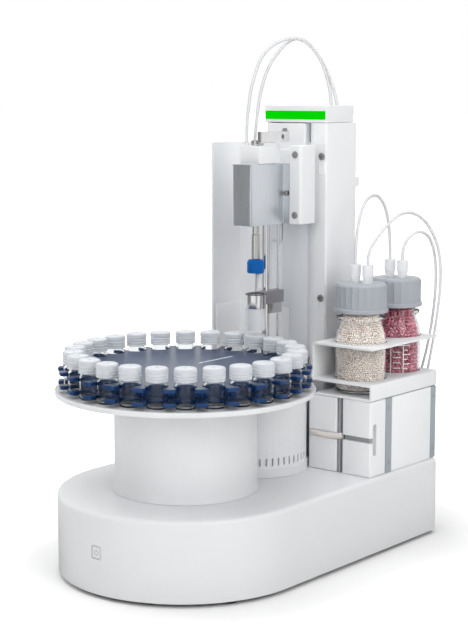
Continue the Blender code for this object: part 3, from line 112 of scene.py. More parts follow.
def make_camera():
    """The photograph's view: a long lens, 40 degrees to the right of the front and 8 degrees above level."""
    camera = bpy.data.cameras.new("camera")
    camera.sensor_width = 36.0
    camera.sensor_fit = "HORIZONTAL"
    camera.lens = 117.21
    camera.clip_end = 50.0
    holder = bpy.data.objects.new("camera", camera)
    holder.location = (1.0276, -1.1598 + AXIS_Y * MM, 0.4913)
    holder.rotation_euler = (math.radians(81.74), 0.0, math.radians(39.69))
    bpy.context.collection.objects.link(holder)
    bpy.context.scene.camera = holder


# Outlines and surfaces. A shell is a pair: its corners and the faces that join them.

def unit(vectors):
    """Vectors drawn out or in to length one."""
    return vectors / np.linalg.norm(vectors, axis=1)[:, None]


def round_angles(count):
    """Angles spaced evenly round a full turn."""
    return np.arange(count) * math.tau / count


def arc(x, y, radius, angle):
    """Points on a circle in a plane at a list of angles."""
    return np.stack([x + radius * np.cos(angle), y + radius * np.sin(angle)], -1)


def around(centre, radius, angle, height):
    """Places round an upright line, as a list: each has its radius, its angle and its height."""
    points = arc(*centre, radius, angle)
    return np.concatenate([points, np.broadcast_to(height, radius.shape)[..., None]], -1).reshape(-1, 3)


def turned(points, angle):
    """Places turned about the axis, in plan."""
    x, y = points[:, 0], points[:, 1]
    x, y = x * math.cos(angle) - y * math.sin(angle), x * math.sin(angle) + y * math.cos(angle)
    return np.column_stack([x, y, points[:, 2:]])


def filleted(corners, radii, steps=6, closed=True):
    """Round the corners of an outline: each corner becomes an arc that touches both its sides."""
    points = np.asarray(corners, float)
    radii = np.broadcast_to(np.asarray(radii, float), (len(points),))
    back = np.roll(points, 1, 0) - points
    ahead = np.roll(points, -1, 0) - points
    if not closed:
        back[0], ahead[-1] = -ahead[0], -back[-1]
        radii = np.concatenate([[0.0], radii[1:-1], [0.0]])
    back, ahead = unit(back), unit(ahead)
    half = np.arccos(np.clip((back * ahead).sum(1), -1.0, 1.0)) / 2
    straight = half > math.pi / 2 - 1e-4
    half = np.where(straight, math.pi / 4, half)
    radii = np.where(straight, 0.0, radii)
    middle = back + ahead
    middle /= np.maximum(np.linalg.norm(middle, axis=1), 1e-9)[:, None]
    centre = points + middle * (radii / np.sin(half))[:, None]
    setback = (radii / np.tan(half))[:, None]
    first = points + back * setback - centre
    last = points + ahead * setback - centre
    sweep = (math.pi - 2 * half)[:, None, None]
    share = np.linspace(0.0, 1.0, steps + 1)[None, :, None]
    arcs = np.sin((1 - share) * sweep) * first[:, None] + np.sin(share * sweep) * last[:, None]
    arcs /= np.sin(sweep)
    line = (centre[:, None] + arcs).reshape(-1, points.shape[1])
    keep = np.linalg.norm(line - np.roll(line, 1, 0), axis=1) > 1e-7
    if not closed:
        keep[0] = True
    return line[keep]


def rectangle(across, up, radii, steps):
    """A rectangle's outline with rounded corners, from its two spans."""
    corners = [(across[0], up[0]), (across[1], up[0]), (across[1], up[1]), (across[0], up[1])]
    return filleted(corners, radii, steps)


def inset(outline, distance):
    """A closed outline in a plane drawn in by a distance, with mitred corners."""
    points = np.asarray(outline, float)
    before = points - np.roll(points, 1, 0)
    after = np.roll(points, -1, 0) - points
    following = np.roll(points, -1, 0)
    turn = np.sign((points[:, 0] * following[:, 1] - following[:, 0] * points[:, 1]).sum())
    normal = unit(np.stack([-before[:, 1], before[:, 0]], 1) * turn)
    next_normal = unit(np.stack([-after[:, 1], after[:, 0]], 1) * turn)
    middle = unit(normal + next_normal)
    return points + middle * (distance / np.maximum((middle * normal).sum(1), 0.3))[:, None]


def grid_faces(rows, columns, join_columns=True, join_rows=False):
    """Quads of a grid whose vertex in a row and column has the number row * columns + column. Joined columns
    or rows run on from the last one to the first."""
    row = np.arange(rows if join_rows else rows - 1)[:, None]
    column = np.arange(columns if join_columns else columns - 1)[None, :]
    next_row, next_column = (row + 1) % rows, (column + 1) % columns
    faces = np.stack([row * columns + column, row * columns + next_column,
                      next_row * columns + next_column, next_row * columns + column], -1)
    return faces.reshape(-1, 4).tolist()


def capped_grid(rows, columns):
    """The quads of a grid of rings, with one more face over the first ring and one over the last."""
    last = (rows - 1) * columns
    return grid_faces(rows, columns) + [list(range(columns))[::-1], list(range(last, last + columns))]


def revolved(profile, segments, centre=(0.0, 0.0), ribs=None):
    """A surface turned round an upright line: radius and height come from the profile, the angle from the
    columns. Ribs, if given, take a list of angles and the profile's rows and return what to add to the
    radius. The ends get a face each, unless they meet or both lie on the line."""
    profile = np.asarray(profile, float)
    angle = round_angles(segments)
    radius = np.repeat(profile[:, :1], segments, 1)
    if ribs is not None:
        radius = radius + ribs(angle[None, :], profile)
    shut = np.allclose(profile[0], profile[-1]) or profile[0, 0] == profile[-1, 0] == 0.0
    joined = grid_faces if shut else capped_grid
    return around(centre, radius, angle, profile[:, 1:]), joined(len(profile), segments)


def closed_turn(outline, segments, centre=(0.0, 0.0), ribs=None):
    """A closed outline of radius and height turned round an upright line."""
    return revolved(np.concatenate([outline, outline[:1]]), segments, centre, ribs)


def cylinder(radius, bottom, top, segments, centre=(0.0, 0.0)):
    """A plain upright cylinder, to cut a round hole with."""
    return revolved([(radius, bottom), (radius, top)], segments, centre)


# The order in which a corner's place in plan and its height give X, Y and Z, by the plane the outline lies in
PLANES = {"xy": [0, 1, 2], "xz": [0, 2, 1], "yz": [2, 0, 1]}


def drawn_up(outline, bottom, top, edge=0.3, steps=3, plane="xy"):
    """A closed outline drawn between two heights, its end edges rounded: near an end the outline is inset
    by the edge's size times one minus the sine, and the height by one minus the cosine, of an angle from 0
    to 90. The flat ends start a little farther in, which keeps the shading of the rounds off them."""
    angle = np.linspace(0.0, math.pi / 2, steps + 1)
    shrink, lift = edge * (1 - np.sin(angle)), edge * (1 - np.cos(angle))
    flat = [edge * 1.6]
    insets = np.concatenate([flat, shrink, shrink[::-1], flat])
    heights = np.concatenate([[bottom], bottom + lift, top - lift[::-1], [top]])
    rings = [np.column_stack([inset(outline, distance), np.full(len(outline), height)])
             for distance, height in zip(insets, heights)]
    return np.concatenate(rings)[:, PLANES[plane]], capped_grid(len(rings), len(outline))


def cutter(outline, bottom, top, plane):
    """A closed outline drawn out with sharp edges, to cut with."""
    return drawn_up(outline, bottom, top, 0.0001, 1, plane)


def block(x, y, z, radius=0.8, steps=3):
    """A block with all its edges rounded, from its three spans."""
    return drawn_up(rectangle(x, y, radius * 1.7, steps), z[0], z[1], radius, steps)


def sheet_outline(path, thickness, bend=1.5, steps=5):
    """The outline of a bent sheet: a path with rounded bends and the same path one thickness to its left."""
    path = np.asarray(path, float)
    runs = np.diff(path, axis=0)
    turn = np.zeros(len(path))
    turn[1:-1] = np.sign(runs[:-1, 0] * runs[1:, 1] - runs[:-1, 1] * runs[1:, 0])
    normals = unit(np.stack([-runs[:, 1], runs[:, 0]], 1))
    after = np.concatenate([normals, normals[-1:]])
    middle = unit(np.concatenate([normals[:1], normals]) + after)
    offset = path + middle * (thickness / (middle * after).sum(1))[:, None]
    leftward = turn * np.sign(thickness) > 0
    wide = bend + abs(thickness)
    near = filleted(path, np.where(leftward, wide, bend), steps, closed=False)
    far = filleted(offset, np.where(leftward, bend, wide), steps, closed=False)
    return np.concatenate([near, far[::-1]])


def smooth_line(route, step):
    """Points a step apart on a smooth curve (Catmull and Rom's) through a route's own points."""
    route = np.asarray(route, float)
    padded = np.concatenate([2 * route[:1] - route[1:2], route, 2 * route[-1:] - route[-2:-1]])
    pieces = []
    for before, start, end, after in zip(padded, padded[1:], padded[2:], padded[3:]):
        count = max(1, round(float(np.linalg.norm(end - start)) / step))
        t = (np.arange(count) / count)[:, None]
        bend = 2 * before - 5 * start + 4 * end - after
        pieces.append(0.5 * (2 * start + (end - before) * t + bend * t ** 2
                             + (3 * start - before - 3 * end + after) * t ** 3))
    return np.concatenate(pieces + [route[-1:]])


def tube_along(line, radius, sides=20):
    """A round tube along a line: each ring stands square to it, turned as little as can be from the last."""
    line = np.asarray(line, float)
    along = unit(np.gradient(line, axis=0))
    side = np.zeros_like(line)
    side[0] = np.cross(along[0], (0.0, 1.0, 0.0) if abs(along[0][1]) < 0.9 else (1.0, 0.0, 0.0))
    for i in range(1, len(line)):
        side[i] = side[i - 1] - along[i] * np.dot(side[i - 1], along[i])
    side = unit(side)
    other = np.cross(along, side)
    angle = round_angles(sides)[None, :, None]
    radius = np.broadcast_to(np.asarray(radius, float), (len(line),))[:, None, None]
    rings = line[:, None] + radius * (np.cos(angle) * side[:, None] + np.sin(angle) * other[:, None])
    return rings.reshape(-1, 3), capped_grid(len(line), sides)


def screw_head(place, facing, radius=3.9, height=1.6):
    """A socket screw's head: a low turned drum with rounded edge and a six-sided hole, facing -Y or +X. The
    hole's edge lies at a radius times the cosine of 30 degrees over the cosine of the angle from the middle
    of its flat."""
    segments = 36
    corners = [(radius, 0.0), (radius, height), (radius * 0.5, height)]
    profile = filleted(corners, (0, 0.5, 0), 4, closed=False)
    angle = round_angles(segments)
    flat = radius * 0.48 * (np.cos(math.pi / 6) / np.cos((angle % (math.pi / 3)) - math.pi / 6))
    rim = around((0.0, 0.0), flat, angle, height)
    corners = np.concatenate([revolved(profile, segments)[0], rim, rim - (0.0, 0.0, height * 0.7)])
    if facing == "-y":
        corners = np.stack([corners[:, 0], -corners[:, 2], corners[:, 1]], 1)
    elif facing == "+x":
        corners = corners[:, [2, 0, 1]]
    return corners + place, capped_grid(len(profile) + 2, segments)


def shifted(shell, offset):
    """A shell moved by an offset."""
    return shell[0] + np.asarray(offset, float), shell[1]


# Pieces

FINISHES = {}


def to_frame(points):
    """This script's places as places in the part's frame, in metres."""
    return (np.asarray(points, float) + (0.0, AXIS_Y, 0.0)) * MM


def mesh_of(name, shells):
    """One mesh made of closed shells."""
    faces, first = [], 0
    for corners, polygons in shells:
        faces += [[corner + first for corner in polygon] for polygon in polygons]
        first += len(corners)
    mesh = bpy.data.meshes.new(name)
    mesh.from_pydata(to_frame(np.concatenate([shell[0] for shell in shells])).tolist(), [], faces)
    return mesh


def weld(mesh):
    """Close a mesh's seams and point its faces outwards."""
    work = bmesh.new()
    work.from_mesh(mesh)
    bmesh.ops.remove_doubles(work, verts=work.verts, dist=MERGE)
    bmesh.ops.dissolve_degenerate(work, edges=work.edges, dist=MERGE / 10)
    bmesh.ops.recalc_face_normals(work, faces=work.faces)
    work.to_mesh(mesh)
    work.free()


def shade(mesh, angle):
    """Smooth faces with sharp edges where they meet at more than an angle."""
    mesh.shade_smooth()
    mesh.set_sharp_from_angle(angle=math.radians(angle))


def add_object(name, data):
    """A new object in the scene."""
    thing = bpy.data.objects.new(name, data)
    bpy.context.collection.objects.link(thing)
    return thing


def finish_piece(mesh, finish, body, node=None, angle=SHARP):
    """Make a piece of a mesh: one finish, on its body, in place of the node that it shows."""
    weld(mesh)
    shade(mesh, angle)
    mesh.materials.append(FINISHES[finish])
    piece = add_object(mesh.name, mesh)
    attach(piece, body)
    if node:
        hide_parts(node)
    return piece


def make_piece(name, shells, finish, body="stand", node=None, angle=SHARP):
    """One piece made of a closed shell or a list of them."""
    shells = shells if isinstance(shells, list) else [shells]
    return finish_piece(mesh_of(name, shells), finish, body, node, angle)


def carve(piece, *shells, operation="DIFFERENCE"):
    """Cut shells out of a piece, all in one step and for good."""
    tool = add_object("cutter", mesh_of("cutter", shells))
    weld(tool.data)
    step = piece.modifiers.new("cut", "BOOLEAN")
    step.operation = operation
    step.solver = "EXACT"
    step.object = tool
    piece_now = piece.evaluated_get(bpy.context.evaluated_depsgraph_get())
    result = bpy.data.meshes.new_from_object(piece_now)
    piece.modifiers.clear()
    piece.data = result
    shade(result, SHARP)
    bpy.data.objects.remove(tool, do_unlink=True)


def build_on(piece, *shells):
    """Join shells to a piece, one after another."""
    for shell in shells:
        carve(piece, shell, operation="UNION")


# Finishes

def feed(tree, target, value):
    """Give a socket a plain value, or the output that feeds it."""
    if isinstance(value, bpy.types.NodeSocket):
        tree.links.new(value, target)
    else:
        target.default_value = value


def add_node(tree, kind, *inputs, **named):
    """A shader node. Named arguments are its settings or feed the socket of that name, with _ for a space;
    plain ones feed its first sockets in their order."""
    node = tree.nodes.new("ShaderNode" + kind)
    for name, value in named.items():
        if hasattr(node, name):
            setattr(node, name, value)
        else:
            feed(tree, node.inputs[name.replace("_", " ")], value)
    for socket, value in zip(node.inputs, inputs):
        feed(tree, socket, value)
    return node


def make_group(name, inputs, outputs, kind="NodeSocketFloat"):
    """A shader group that takes coordinates and named numbers or vectors, and gives outputs of one kind."""
    tree = bpy.data.node_groups.new(name, "ShaderNodeTree")
    tree.interface.new_socket("Vector", in_out="INPUT", socket_type="NodeSocketVector")
    for label, value in inputs.items():
        socket_type = "NodeSocketFloat" if isinstance(value, float) else "NodeSocketVector"
        tree.interface.new_socket(label, in_out="INPUT", socket_type=socket_type).default_value = value
    for label in outputs:
        tree.interface.new_socket(label, in_out="OUTPUT", socket_type=kind)
    return tree, tree.nodes.new("NodeGroupInput").outputs, tree.nodes.new("NodeGroupOutput").inputs


def skin_group():
    """Moulded or coated skin: fine bumps of one size over a slow drift of tone."""
    tree, given, result = make_group("skin", {"Grain": 900.0, "Drift": 9.0}, ("Tone", "Height"))
    grain = add_node(tree, "TexNoise", Vector=given["Vector"], Scale=given["Grain"], Detail=2.0,
                     Roughness=0.55)
    drift = add_node(tree, "TexNoise", Vector=given["Vector"], Scale=given["Drift"], Detail=3.0)
    slow = add_node(tree, "Math", drift.outputs["Fac"], 0.75, operation="MULTIPLY")
    both = add_node(tree, "Math", grain.outputs["Fac"], 0.25, slow.outputs[0], operation="MULTIPLY_ADD")
    feed(tree, result["Tone"], both.outputs[0])
    feed(tree, result["Height"], grain.outputs["Fac"])
    return tree


def brush_group():
    """Brushed or ground metal: noise drawn out into lines along one direction."""
    inputs = {"Stretch": (1.0, 1.0, 0.02), "Fineness": 1500.0}
    tree, given, result = make_group("brush", inputs, ("Tone", "Height"))
    pull = add_node(tree, "VectorMath", given["Vector"], given["Stretch"], operation="MULTIPLY")
    lines = add_node(tree, "TexNoise", Vector=pull.outputs[0], Scale=given["Fineness"], Detail=4.0)
    feed(tree, result["Tone"], lines.outputs["Fac"])
    feed(tree, result["Height"], lines.outputs["Fac"])
    return tree


def speckle_group():
    """A tone and a scatter of spots: the tone is one random value per small cell, the spots a high noise; the
    spots are specks on one filling and painted highlights on the other.
    """
    tree, given, result = make_group("speckle", {"Cells": 300.0, "Spots": 900.0}, ("Tone", "Spot"))
    cells = add_node(tree, "TexVoronoi", Vector=given["Vector"], Scale=given["Cells"])
    spots = add_node(tree, "TexNoise", Vector=given["Vector"], Scale=given["Spots"], Detail=1.0)
    parts = add_node(tree, "SeparateColor", cells.outputs["Color"])
    limit = add_node(tree, "MapRange", Value=spots.outputs["Fac"], From_Min=0.56, From_Max=0.60)
    feed(tree, result["Tone"], parts.outputs[0])
    feed(tree, result["Spot"], limit.outputs["Result"])
    return tree


# The studio as mirrors see it: how bright it is all round, by share of a full turn from the -X side
STUDIO_RING = ((0.0, 0.8), (0.05, 0.8), (0.09, 0.25), (0.19, 0.25), (0.235, 1.0), (0.345, 1.0), (0.37, 0.4),
               (0.40, 0.4), (0.43, 1.0), (0.48, 1.0), (0.51, 0.35), (0.56, 0.35), (0.60, 0.95), (0.76, 0.95),
               (0.82, 1.0), (0.92, 1.0), (0.97, 0.8))


def screens_group():
    """The bright and dark screens round the object: the direction's turn looks up the studio's ring."""
    tree, given, result = make_group("screens", {}, ("Tone",), "NodeSocketColor")
    turn = add_node(tree, "TexGradient", given["Vector"], gradient_type="RADIAL")
    feed(tree, result["Tone"], ramp(tree, turn.outputs["Fac"], STUDIO_RING))
    return tree


def opaque(colour):
    """A colour, or a level of grey, with full alpha."""
    return (*np.broadcast_to(colour, 3).tolist(), 1.0)


def ramp(tree, factor, stops):
    """A colour looked up by a factor: each stop has its place and its colour or level of grey."""
    node = add_node(tree, "ValToRGB", factor)
    elements = node.color_ramp.elements
    while len(elements) < len(stops):
        elements.new(0.5)
    for element, (place, colour) in zip(elements, stops):
        element.position = place
        element.color = opaque(colour)
    return node.outputs["Color"]


def mixed(tree, factor, first, second):
    """A mix of two colours, levels of grey or outputs."""
    sides = [side if isinstance(side, bpy.types.NodeSocket) else opaque(side) for side in (first, second)]
    return add_node(tree, "Mix", data_type="RGBA", Factor=factor, A=sides[0], B=sides[1]).outputs["Result"]


def times(share, colour):
    """A colour made darker or lighter, up to white."""
    return tuple(min(1.0, part * share) for part in colour)


# Where a noise's low and high tones lie
NOISE_REACH = (0.3, 0.7)


def two_tones(tree, factor, low, high, reach=NOISE_REACH):
    """A colour that goes from one tone to another as a value rises."""
    return ramp(tree, factor, ((reach[0], low), (reach[1], high)))


def spread(tree, factor, low, high):
    """A value between two limits as a factor rises."""
    node = add_node(tree, "MapRange", Value=factor, From_Min=NOISE_REACH[0], From_Max=NOISE_REACH[1],
                    To_Min=low, To_Max=high)
    return node.outputs["Result"]


def bump(tree, height, strength, distance):
    """Fine relief from a height."""
    return add_node(tree, "Bump", Strength=strength, Distance=distance, Height=height).outputs["Normal"]


GROUPS = {"skin": skin_group(), "brush": brush_group(), "speckle": speckle_group(),
          "screens": screens_group()}


def use_group(tree, kind, place, **values):
    """The outputs of one of the shared groups, fed with coordinates and its own values."""
    return add_node(tree, "Group", node_tree=GROUPS[kind], Vector=place, **values).outputs


def start_material(name, kind, **values):
    """A material with its tree, and one of the shared groups on its Object coordinates."""
    material = bpy.data.materials.new(name)
    material.use_nodes = True
    tree = material.node_tree
    place = add_node(tree, "TexCoord").outputs["Object"]
    return material, tree, use_group(tree, kind, place, **values)


def fill(material, values):
    """Feed the shader's sockets by their names, and give the material back."""
    for name, value in values.items():
        feed(material.node_tree, material.node_tree.nodes["Principled BSDF"].inputs[name], value)
    return material


def coated(name, colour, roughness, grain=900.0, relief=0.00002, contrast=0.04, specular=0.5, glow=None):
    """A moulded or painted finish in one colour with a faint drift of tone and a fine skin."""
    material, tree, skin = start_material(name, "skin", Grain=grain)
    tone = skin["Tone"]
    if glow:
        fill(material, {"Emission Color": two_tones(tree, tone, times(0.85, glow), glow),
                        "Emission Strength": 1.0})
    return fill(material, {
        "Base Color": two_tones(tree, tone, times(1 - contrast, colour), times(1 + contrast, colour)),
        "Roughness": spread(tree, tone, roughness * 0.9, roughness * 1.12),
        "Normal": bump(tree, skin["Height"], 0.35, relief),
        "Specular IOR Level": specular})


def tint_with_painted_edge_light(name, flat, edge, roughness):
    """A clear-tinted plastic plate: deep on its flat faces, brighter and purer on its upright edges, which is
    painted light for the glow through the plate.
    """
    material, tree, skin = start_material(name, "skin", Grain=300.0)
    # Upright faces take the edge colour: painted light for the glow that runs through the plate to its edges.
    parts = add_node(tree, "SeparateXYZ", add_node(tree, "NewGeometry").outputs["Normal"])
    upright = add_node(tree, "Math", parts.outputs["Z"], operation="ABSOLUTE")
    face = two_tones(tree, skin["Tone"], times(0.88, flat), times(1.12, flat))
    return fill(material, {
        "Base Color": mixed(tree, upright.outputs[0], edge, face),
        "Roughness": spread(tree, skin["Tone"], roughness * 0.9, roughness * 1.12),
        "Normal": bump(tree, skin["Height"], 0.35, 0.00001),
        "Specular IOR Level": 0.4})


def metal(name, colour, roughness, stretch=(1.0, 1.0, 0.02), fineness=1500.0, contrast=0.12):
    """A metal with fine lines along one direction."""
    material, tree, brush = start_material(name, "brush", Stretch=stretch, Fineness=fineness)
    tone = brush["Tone"]
    return fill(material, {
        "Metallic": 1.0,
        "Base Color": two_tones(tree, tone, times(1 - contrast, colour), times(1 + contrast, colour)),
        "Roughness": spread(tree, tone, roughness * 0.8, roughness * 1.25),
        "Normal": bump(tree, brush["Height"], 0.3, 0.000008)})


def clear(name, colour, roughness, index, shadow=0.25, transmission=1.0, edge=None):
    """A clear or milky solid that lets light through; an edge colour, when given, darkens it where it is seen
    edge on, which is painted shade.
    """
    material, tree, skin = start_material(name, "skin", Grain=400.0, Drift=20.0)
    base = two_tones(tree, skin["Tone"], times(0.97, colour), colour)
    # Painted shade: the edge colour darkens the faces seen edge on.
    if edge:
        base = mixed(tree, add_node(tree, "LayerWeight", Blend=0.45).outputs["Facing"], base, edge)
    in_shadow = add_node(tree, "LightPath").outputs["Is Shadow Ray"]
    thin = add_node(tree, "MapRange", Value=in_shadow, To_Min=1.0, To_Max=shadow)
    return fill(material, {
        "Transmission Weight": transmission, "IOR": index, "Base Color": base,
        "Roughness": spread(tree, skin["Tone"], roughness * 0.85, roughness * 1.15),
        "Alpha": thin.outputs["Result"]})


def beads(name, dark, light, spot):
    """Round grains, each with its own tone, and a scatter of spots in a third colour: dark specks on the
    cream, painted highlights on the crimson.
    """
    material, tree, speckle = start_material(name, "speckle", Cells=420.0, Spots=1100.0)
    own = add_node(tree, "Attribute", attribute_name="grain_tone")
    base = two_tones(tree, own.outputs["Fac"], dark, light, (0.0, 1.0))
    # The spot colour gives real specks on the cream and painted highlights on the crimson.
    return fill(material, {"Base Color": mixed(tree, speckle["Spot"], base, spot),
                           "Roughness": spread(tree, speckle["Tone"], 0.245, 0.455)})


# The record's material slot that each finish belongs to
SLOTS = {
    "housing": "housing_white", "sheet": "sheet_white", "panel": "sheet_white", "grey": "cover_grey",
    "column": "column_grey", "frame": "frame_grey", "liner": "frame_grey", "seam": "frame_grey",
    "foot": "plate_dark", "dark": "plate_dark", "vent_shade": "plate_dark", "symbol": "key_white",
    "disc": "disc_metal", "rim": "disc_metal", "rack": "rack_blue", "hub": "rack_blue", "index": "rack_blue",
    "glass": "vial_clear", "vial_cap": "vial_clear", "septum": "vial_clear", "bottle_glass": "bottle_cream",
    "print": "bottle_cream", "cream": "bottle_cream", "crimson": "bottle_crimson", "cap": "cap_grey",
    "milky": "tube_clear", "tube": "tube_clear", "lower_sleeve": "tube_clear", "transfer": "tube_clear",
    "steel": "steel", "bar": "steel", "screw": "steel", "chrome": "sleeve_steel", "nut": "nut_blue",
    "light": "status_green",
}


def make_finishes():
    """Every finish, by name, with its slot noted on it."""
    FINISHES.update({
        "housing": coated("housing_white", (0.765, 0.775, 0.79), 0.36, contrast=0.012),
        "sheet": coated("sheet_white", (0.86, 0.87, 0.885), 0.42, grain=1400.0, contrast=0.012),
        "panel": coated("panel_white", (0.88, 0.89, 0.90), 0.42, grain=1400.0, contrast=0.012),
        "grey": metal("cover_grey", (0.76, 0.79, 0.83), 0.36, (1.0, 1.0, 0.03), contrast=0.06),
        "column": coated("column_anodised", (0.80, 0.82, 0.85), 0.4, grain=1400.0, contrast=0.03),
        "frame": coated("frame_grey", (0.36, 0.40, 0.44), 0.45),
        "foot": coated("foot_rubber", (0.02, 0.02, 0.022), 0.75, grain=600.0, relief=0.00006, contrast=0.25),
        "disc": coated("disc_grey", (0.58, 0.59, 0.60), 0.3, grain=700.0, contrast=0.05),
        "rim": coated("rim_white", (0.78, 0.79, 0.80), 0.35, contrast=0.02),
        # The rack's upright faces get a purer blue as painted light.
        "rack": tint_with_painted_edge_light("rack_blue", (0.028, 0.050, 0.102), (0.001, 0.037, 0.145), 0.3),
        "hub": coated("rack_hub_blue", (0.016, 0.058, 0.175), 0.3, grain=300.0, contrast=0.15, specular=0.15),
        "index": coated("index_white", (0.75, 0.78, 0.82), 0.4, contrast=0.03),
        "glass": clear("vial_glass", (0.98, 0.99, 1.0), 0.01, 1.26),
        "bottle_glass": clear("bottle_glass", (0.995, 1.0, 1.0), 0.01, 1.35, shadow=0.1),
        "vial_cap": clear("vial_cap_milky", (0.78, 0.80, 0.83), 0.4, 1.2, 0.4, transmission=0.35),
        "milky": clear("fitting_milky", (0.92, 0.93, 0.94), 0.35, 1.3, 0.5, transmission=0.4),
        # The tube's darker sides, seen edge on, are painted shade.
        "tube": clear("tube_milky_painted_edge_shade", (0.86, 0.87, 0.88), 0.4, 1.3, 0.6, transmission=0.1,
                      edge=(0.40, 0.41, 0.43)),
        "lower_sleeve": clear("sleeve_clear", (0.90, 0.91, 0.93), 0.12, 1.45, 0.5, transmission=0.5),
        "septum": coated("septum_grey", (0.55, 0.56, 0.58), 0.6),
        "steel": metal("ground_steel", (0.62, 0.61, 0.60), 0.22),
        "chrome": metal("polished_steel", (0.75, 0.75, 0.76), 0.1, contrast=0.05),
        "bar": metal("bar_steel", (0.43, 0.41, 0.43), 0.35, (1.0, 0.05, 1.0)),
        "screw": metal("screw_steel", (0.40, 0.39, 0.38), 0.32, (1.0, 1.0, 1.0), 900.0),
        "nut": coated("nut_blue", (0.003, 0.115, 0.42), 0.3, contrast=0.08, specular=0.15),
        "light": coated("status_green", (0.0, 0.03, 0.0), 0.5, contrast=0.08, specular=0.0,
                        glow=(0.001, 0.68, 0.0)),
        "cap": coated("cap_grey", (0.40, 0.42, 0.46), 0.5, grain=700.0, contrast=0.05),
        # The grey of the seam plate, and painted shade on the floor and side of the unit's groove.
        "liner": coated("liner_and_groove_shade_grey", (0.38, 0.385, 0.40), 0.45, contrast=0.03),
        "cream": beads("beads_cream", (1.0, 0.89, 0.80), (1.0, 0.99, 0.95), (0.24, 0.10, 0.05)),
        # The crimson's pale pink spots are painted highlights.
        "crimson": beads("beads_crimson", (0.26, 0.012, 0.045), (0.70, 0.18, 0.28), (0.85, 0.55, 0.6)),
        "transfer": coated("transfer_cream", (0.78, 0.72, 0.68), 0.35, contrast=0.03),
        "symbol": coated("symbol_grey", (0.30, 0.32, 0.35), 0.45),
        "print": coated("scale_white", (0.9, 0.9, 0.9), 0.5),
        # Painted shade: the dark backing behind the seam between the unit's covers.
        "seam": coated("seam_painted_shade_brown", (0.10, 0.07, 0.065), 0.6, contrast=0.2),
        "dark": coated("shadow_gap", (0.03, 0.03, 0.032), 0.6, contrast=0.2),
        # Painted shade: the dark ring in the floors of the oven's vents.
        "vent_shade": coated("vent_painted_shade", (0.05, 0.05, 0.055), 0.6, contrast=0.2),
    })
    for name, finish in FINISHES.items():
        finish["slot"] = SLOTS[name]


# Tubes, which come straight after the camera

HEAD_TUBES = {
    "head_tube_front": [
        (-7, 108, 437.9), (-7, 108, 444.9), (-7, 109, 465), (-6.1, 110.7, 481), (-5, 112.5, 496.1),
        (-2.6, 116.3, 512.3), (0, 121.8, 527.5), (3.9, 130.7, 539.4), (8.9, 143.7, 547.4),
        (14.9, 157.7, 551.2), (19.9, 170.7, 549), (24.3, 181.7, 541.5), (28, 191.5, 529.4),
        (30.3, 199.2, 513.3), (31.1, 205.2, 496.1), (31, 208, 481.1), (31, 208, 474.1)],
    "head_tube_rear": [
        (-7, 122, 437.9), (-7, 122, 444.9), (-6.2, 123, 459), (-5.3, 124.8, 475), (-4.4, 128.7, 493.9),
        (-2.8, 135.2, 513.1), (0.3, 142.5, 527.6), (4.3, 151.6, 539.6), (8.5, 161, 548.1),
        (12.5, 169.7, 551.2), (17, 179.3, 548.6), (21.2, 188.3, 540), (25.5, 197.3, 527.6),
        (29.8, 204.7, 511.7), (33.3, 209.8, 495.9), (35, 213, 481.1), (35, 213, 474.1)],
}
BOTTLE_TUBES = {
    "bottle_link_tube": [
        (80.7, 187, 310.2), (80.7, 187, 317.2), (81.1, 187.5, 330), (81.5, 189.5, 348), (82, 195, 365.5),
        (82, 204, 377.5), (82, 215.5, 382.2), (82, 227.5, 380.8), (82, 239, 371), (81.8, 246.5, 356),
        (81.3, 251.5, 338), (80.7, 254, 317.2), (80.7, 254, 310.2)],
    "first_gas_tube": [
        (97.3, 187, 310.2), (97.3, 187, 317.2), (98.4, 191, 328.5), (101.2, 202.2, 342), (104.5, 216.5, 354),
        (108, 232.5, 362.5), (111.5, 250.5, 362.8), (115, 268, 354.5), (118.2, 281.5, 339.5),
        (120.3, 290.5, 322), (121, 295, 302), (120.5, 296.5, 282), (119, 296.5, 262), (116.8, 296, 242),
        (114.2, 295.2, 222), (111.2, 294, 202), (107.8, 293, 182), (104, 292.5, 162), (100.5, 292.5, 143.2),
        (100.5, 292.5, 136.2)],
    "second_gas_tube": [
        (97.3, 254, 310.2), (97.3, 254, 317.2), (98, 256.2, 325.5), (100.3, 261.5, 334.5),
        (103.5, 269.5, 339.5), (107, 279, 339.5), (110.3, 287.5, 333), (112.5, 293.2, 320),
        (113.8, 296, 303), (113.8, 297.2, 284),
        (112.8, 297.2, 263), (110.5, 296.8, 242), (107.5, 296, 221), (103.5, 294.8, 200), (98.5, 293.6, 180),
        (92.5, 292.8, 160), (89.5, 292.5, 143.2), (89.5, 292.5, 136.2)],
}


def make_tubes():
    """Every tube along its route."""
    for name, route in {**HEAD_TUBES, **BOTTLE_TUBES}.items():
        line = smooth_line(route, TUBE_STEP)
        tube = make_piece(name + "_soft", tube_along(line, TUBE_RADIUS, 18), "tube", node=name)
        if name in HEAD_TUBES:
            tube.parent = None
            tube.matrix_world.identity()
            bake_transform(tube)
        path = to_frame(line)
        path = [tuple(point) for point in path.tolist()]


# Base

def base_ring(shrink, height):
    """The base's outline drawn in: a half circle in front and two square corners with small rounds behind."""
    radius = BASE_RADIUS - shrink
    rear = BASE_REAR - shrink
    corner = max(8.0 - shrink, 0.5)
    angle = np.linspace(math.pi, 2 * math.pi, 97)
    front = arc(0.0, 0.0, radius, angle)
    turn = np.linspace(0.0, math.pi / 2, 9)
    right = arc(radius - corner, rear - corner, corner, turn)
    left = arc(corner - radius, rear - corner, corner, turn + math.pi / 2)
    side = np.linspace(0.0, 1.0, 12)[1:-1, None]
    right_side = front[-1] + (right[0] - front[-1]) * side
    left_side = left[-1] + (front[0] - left[-1]) * side
    ring = np.concatenate([front, right_side, right, left, left_side])
    return np.column_stack([ring, np.full(len(ring), height)])


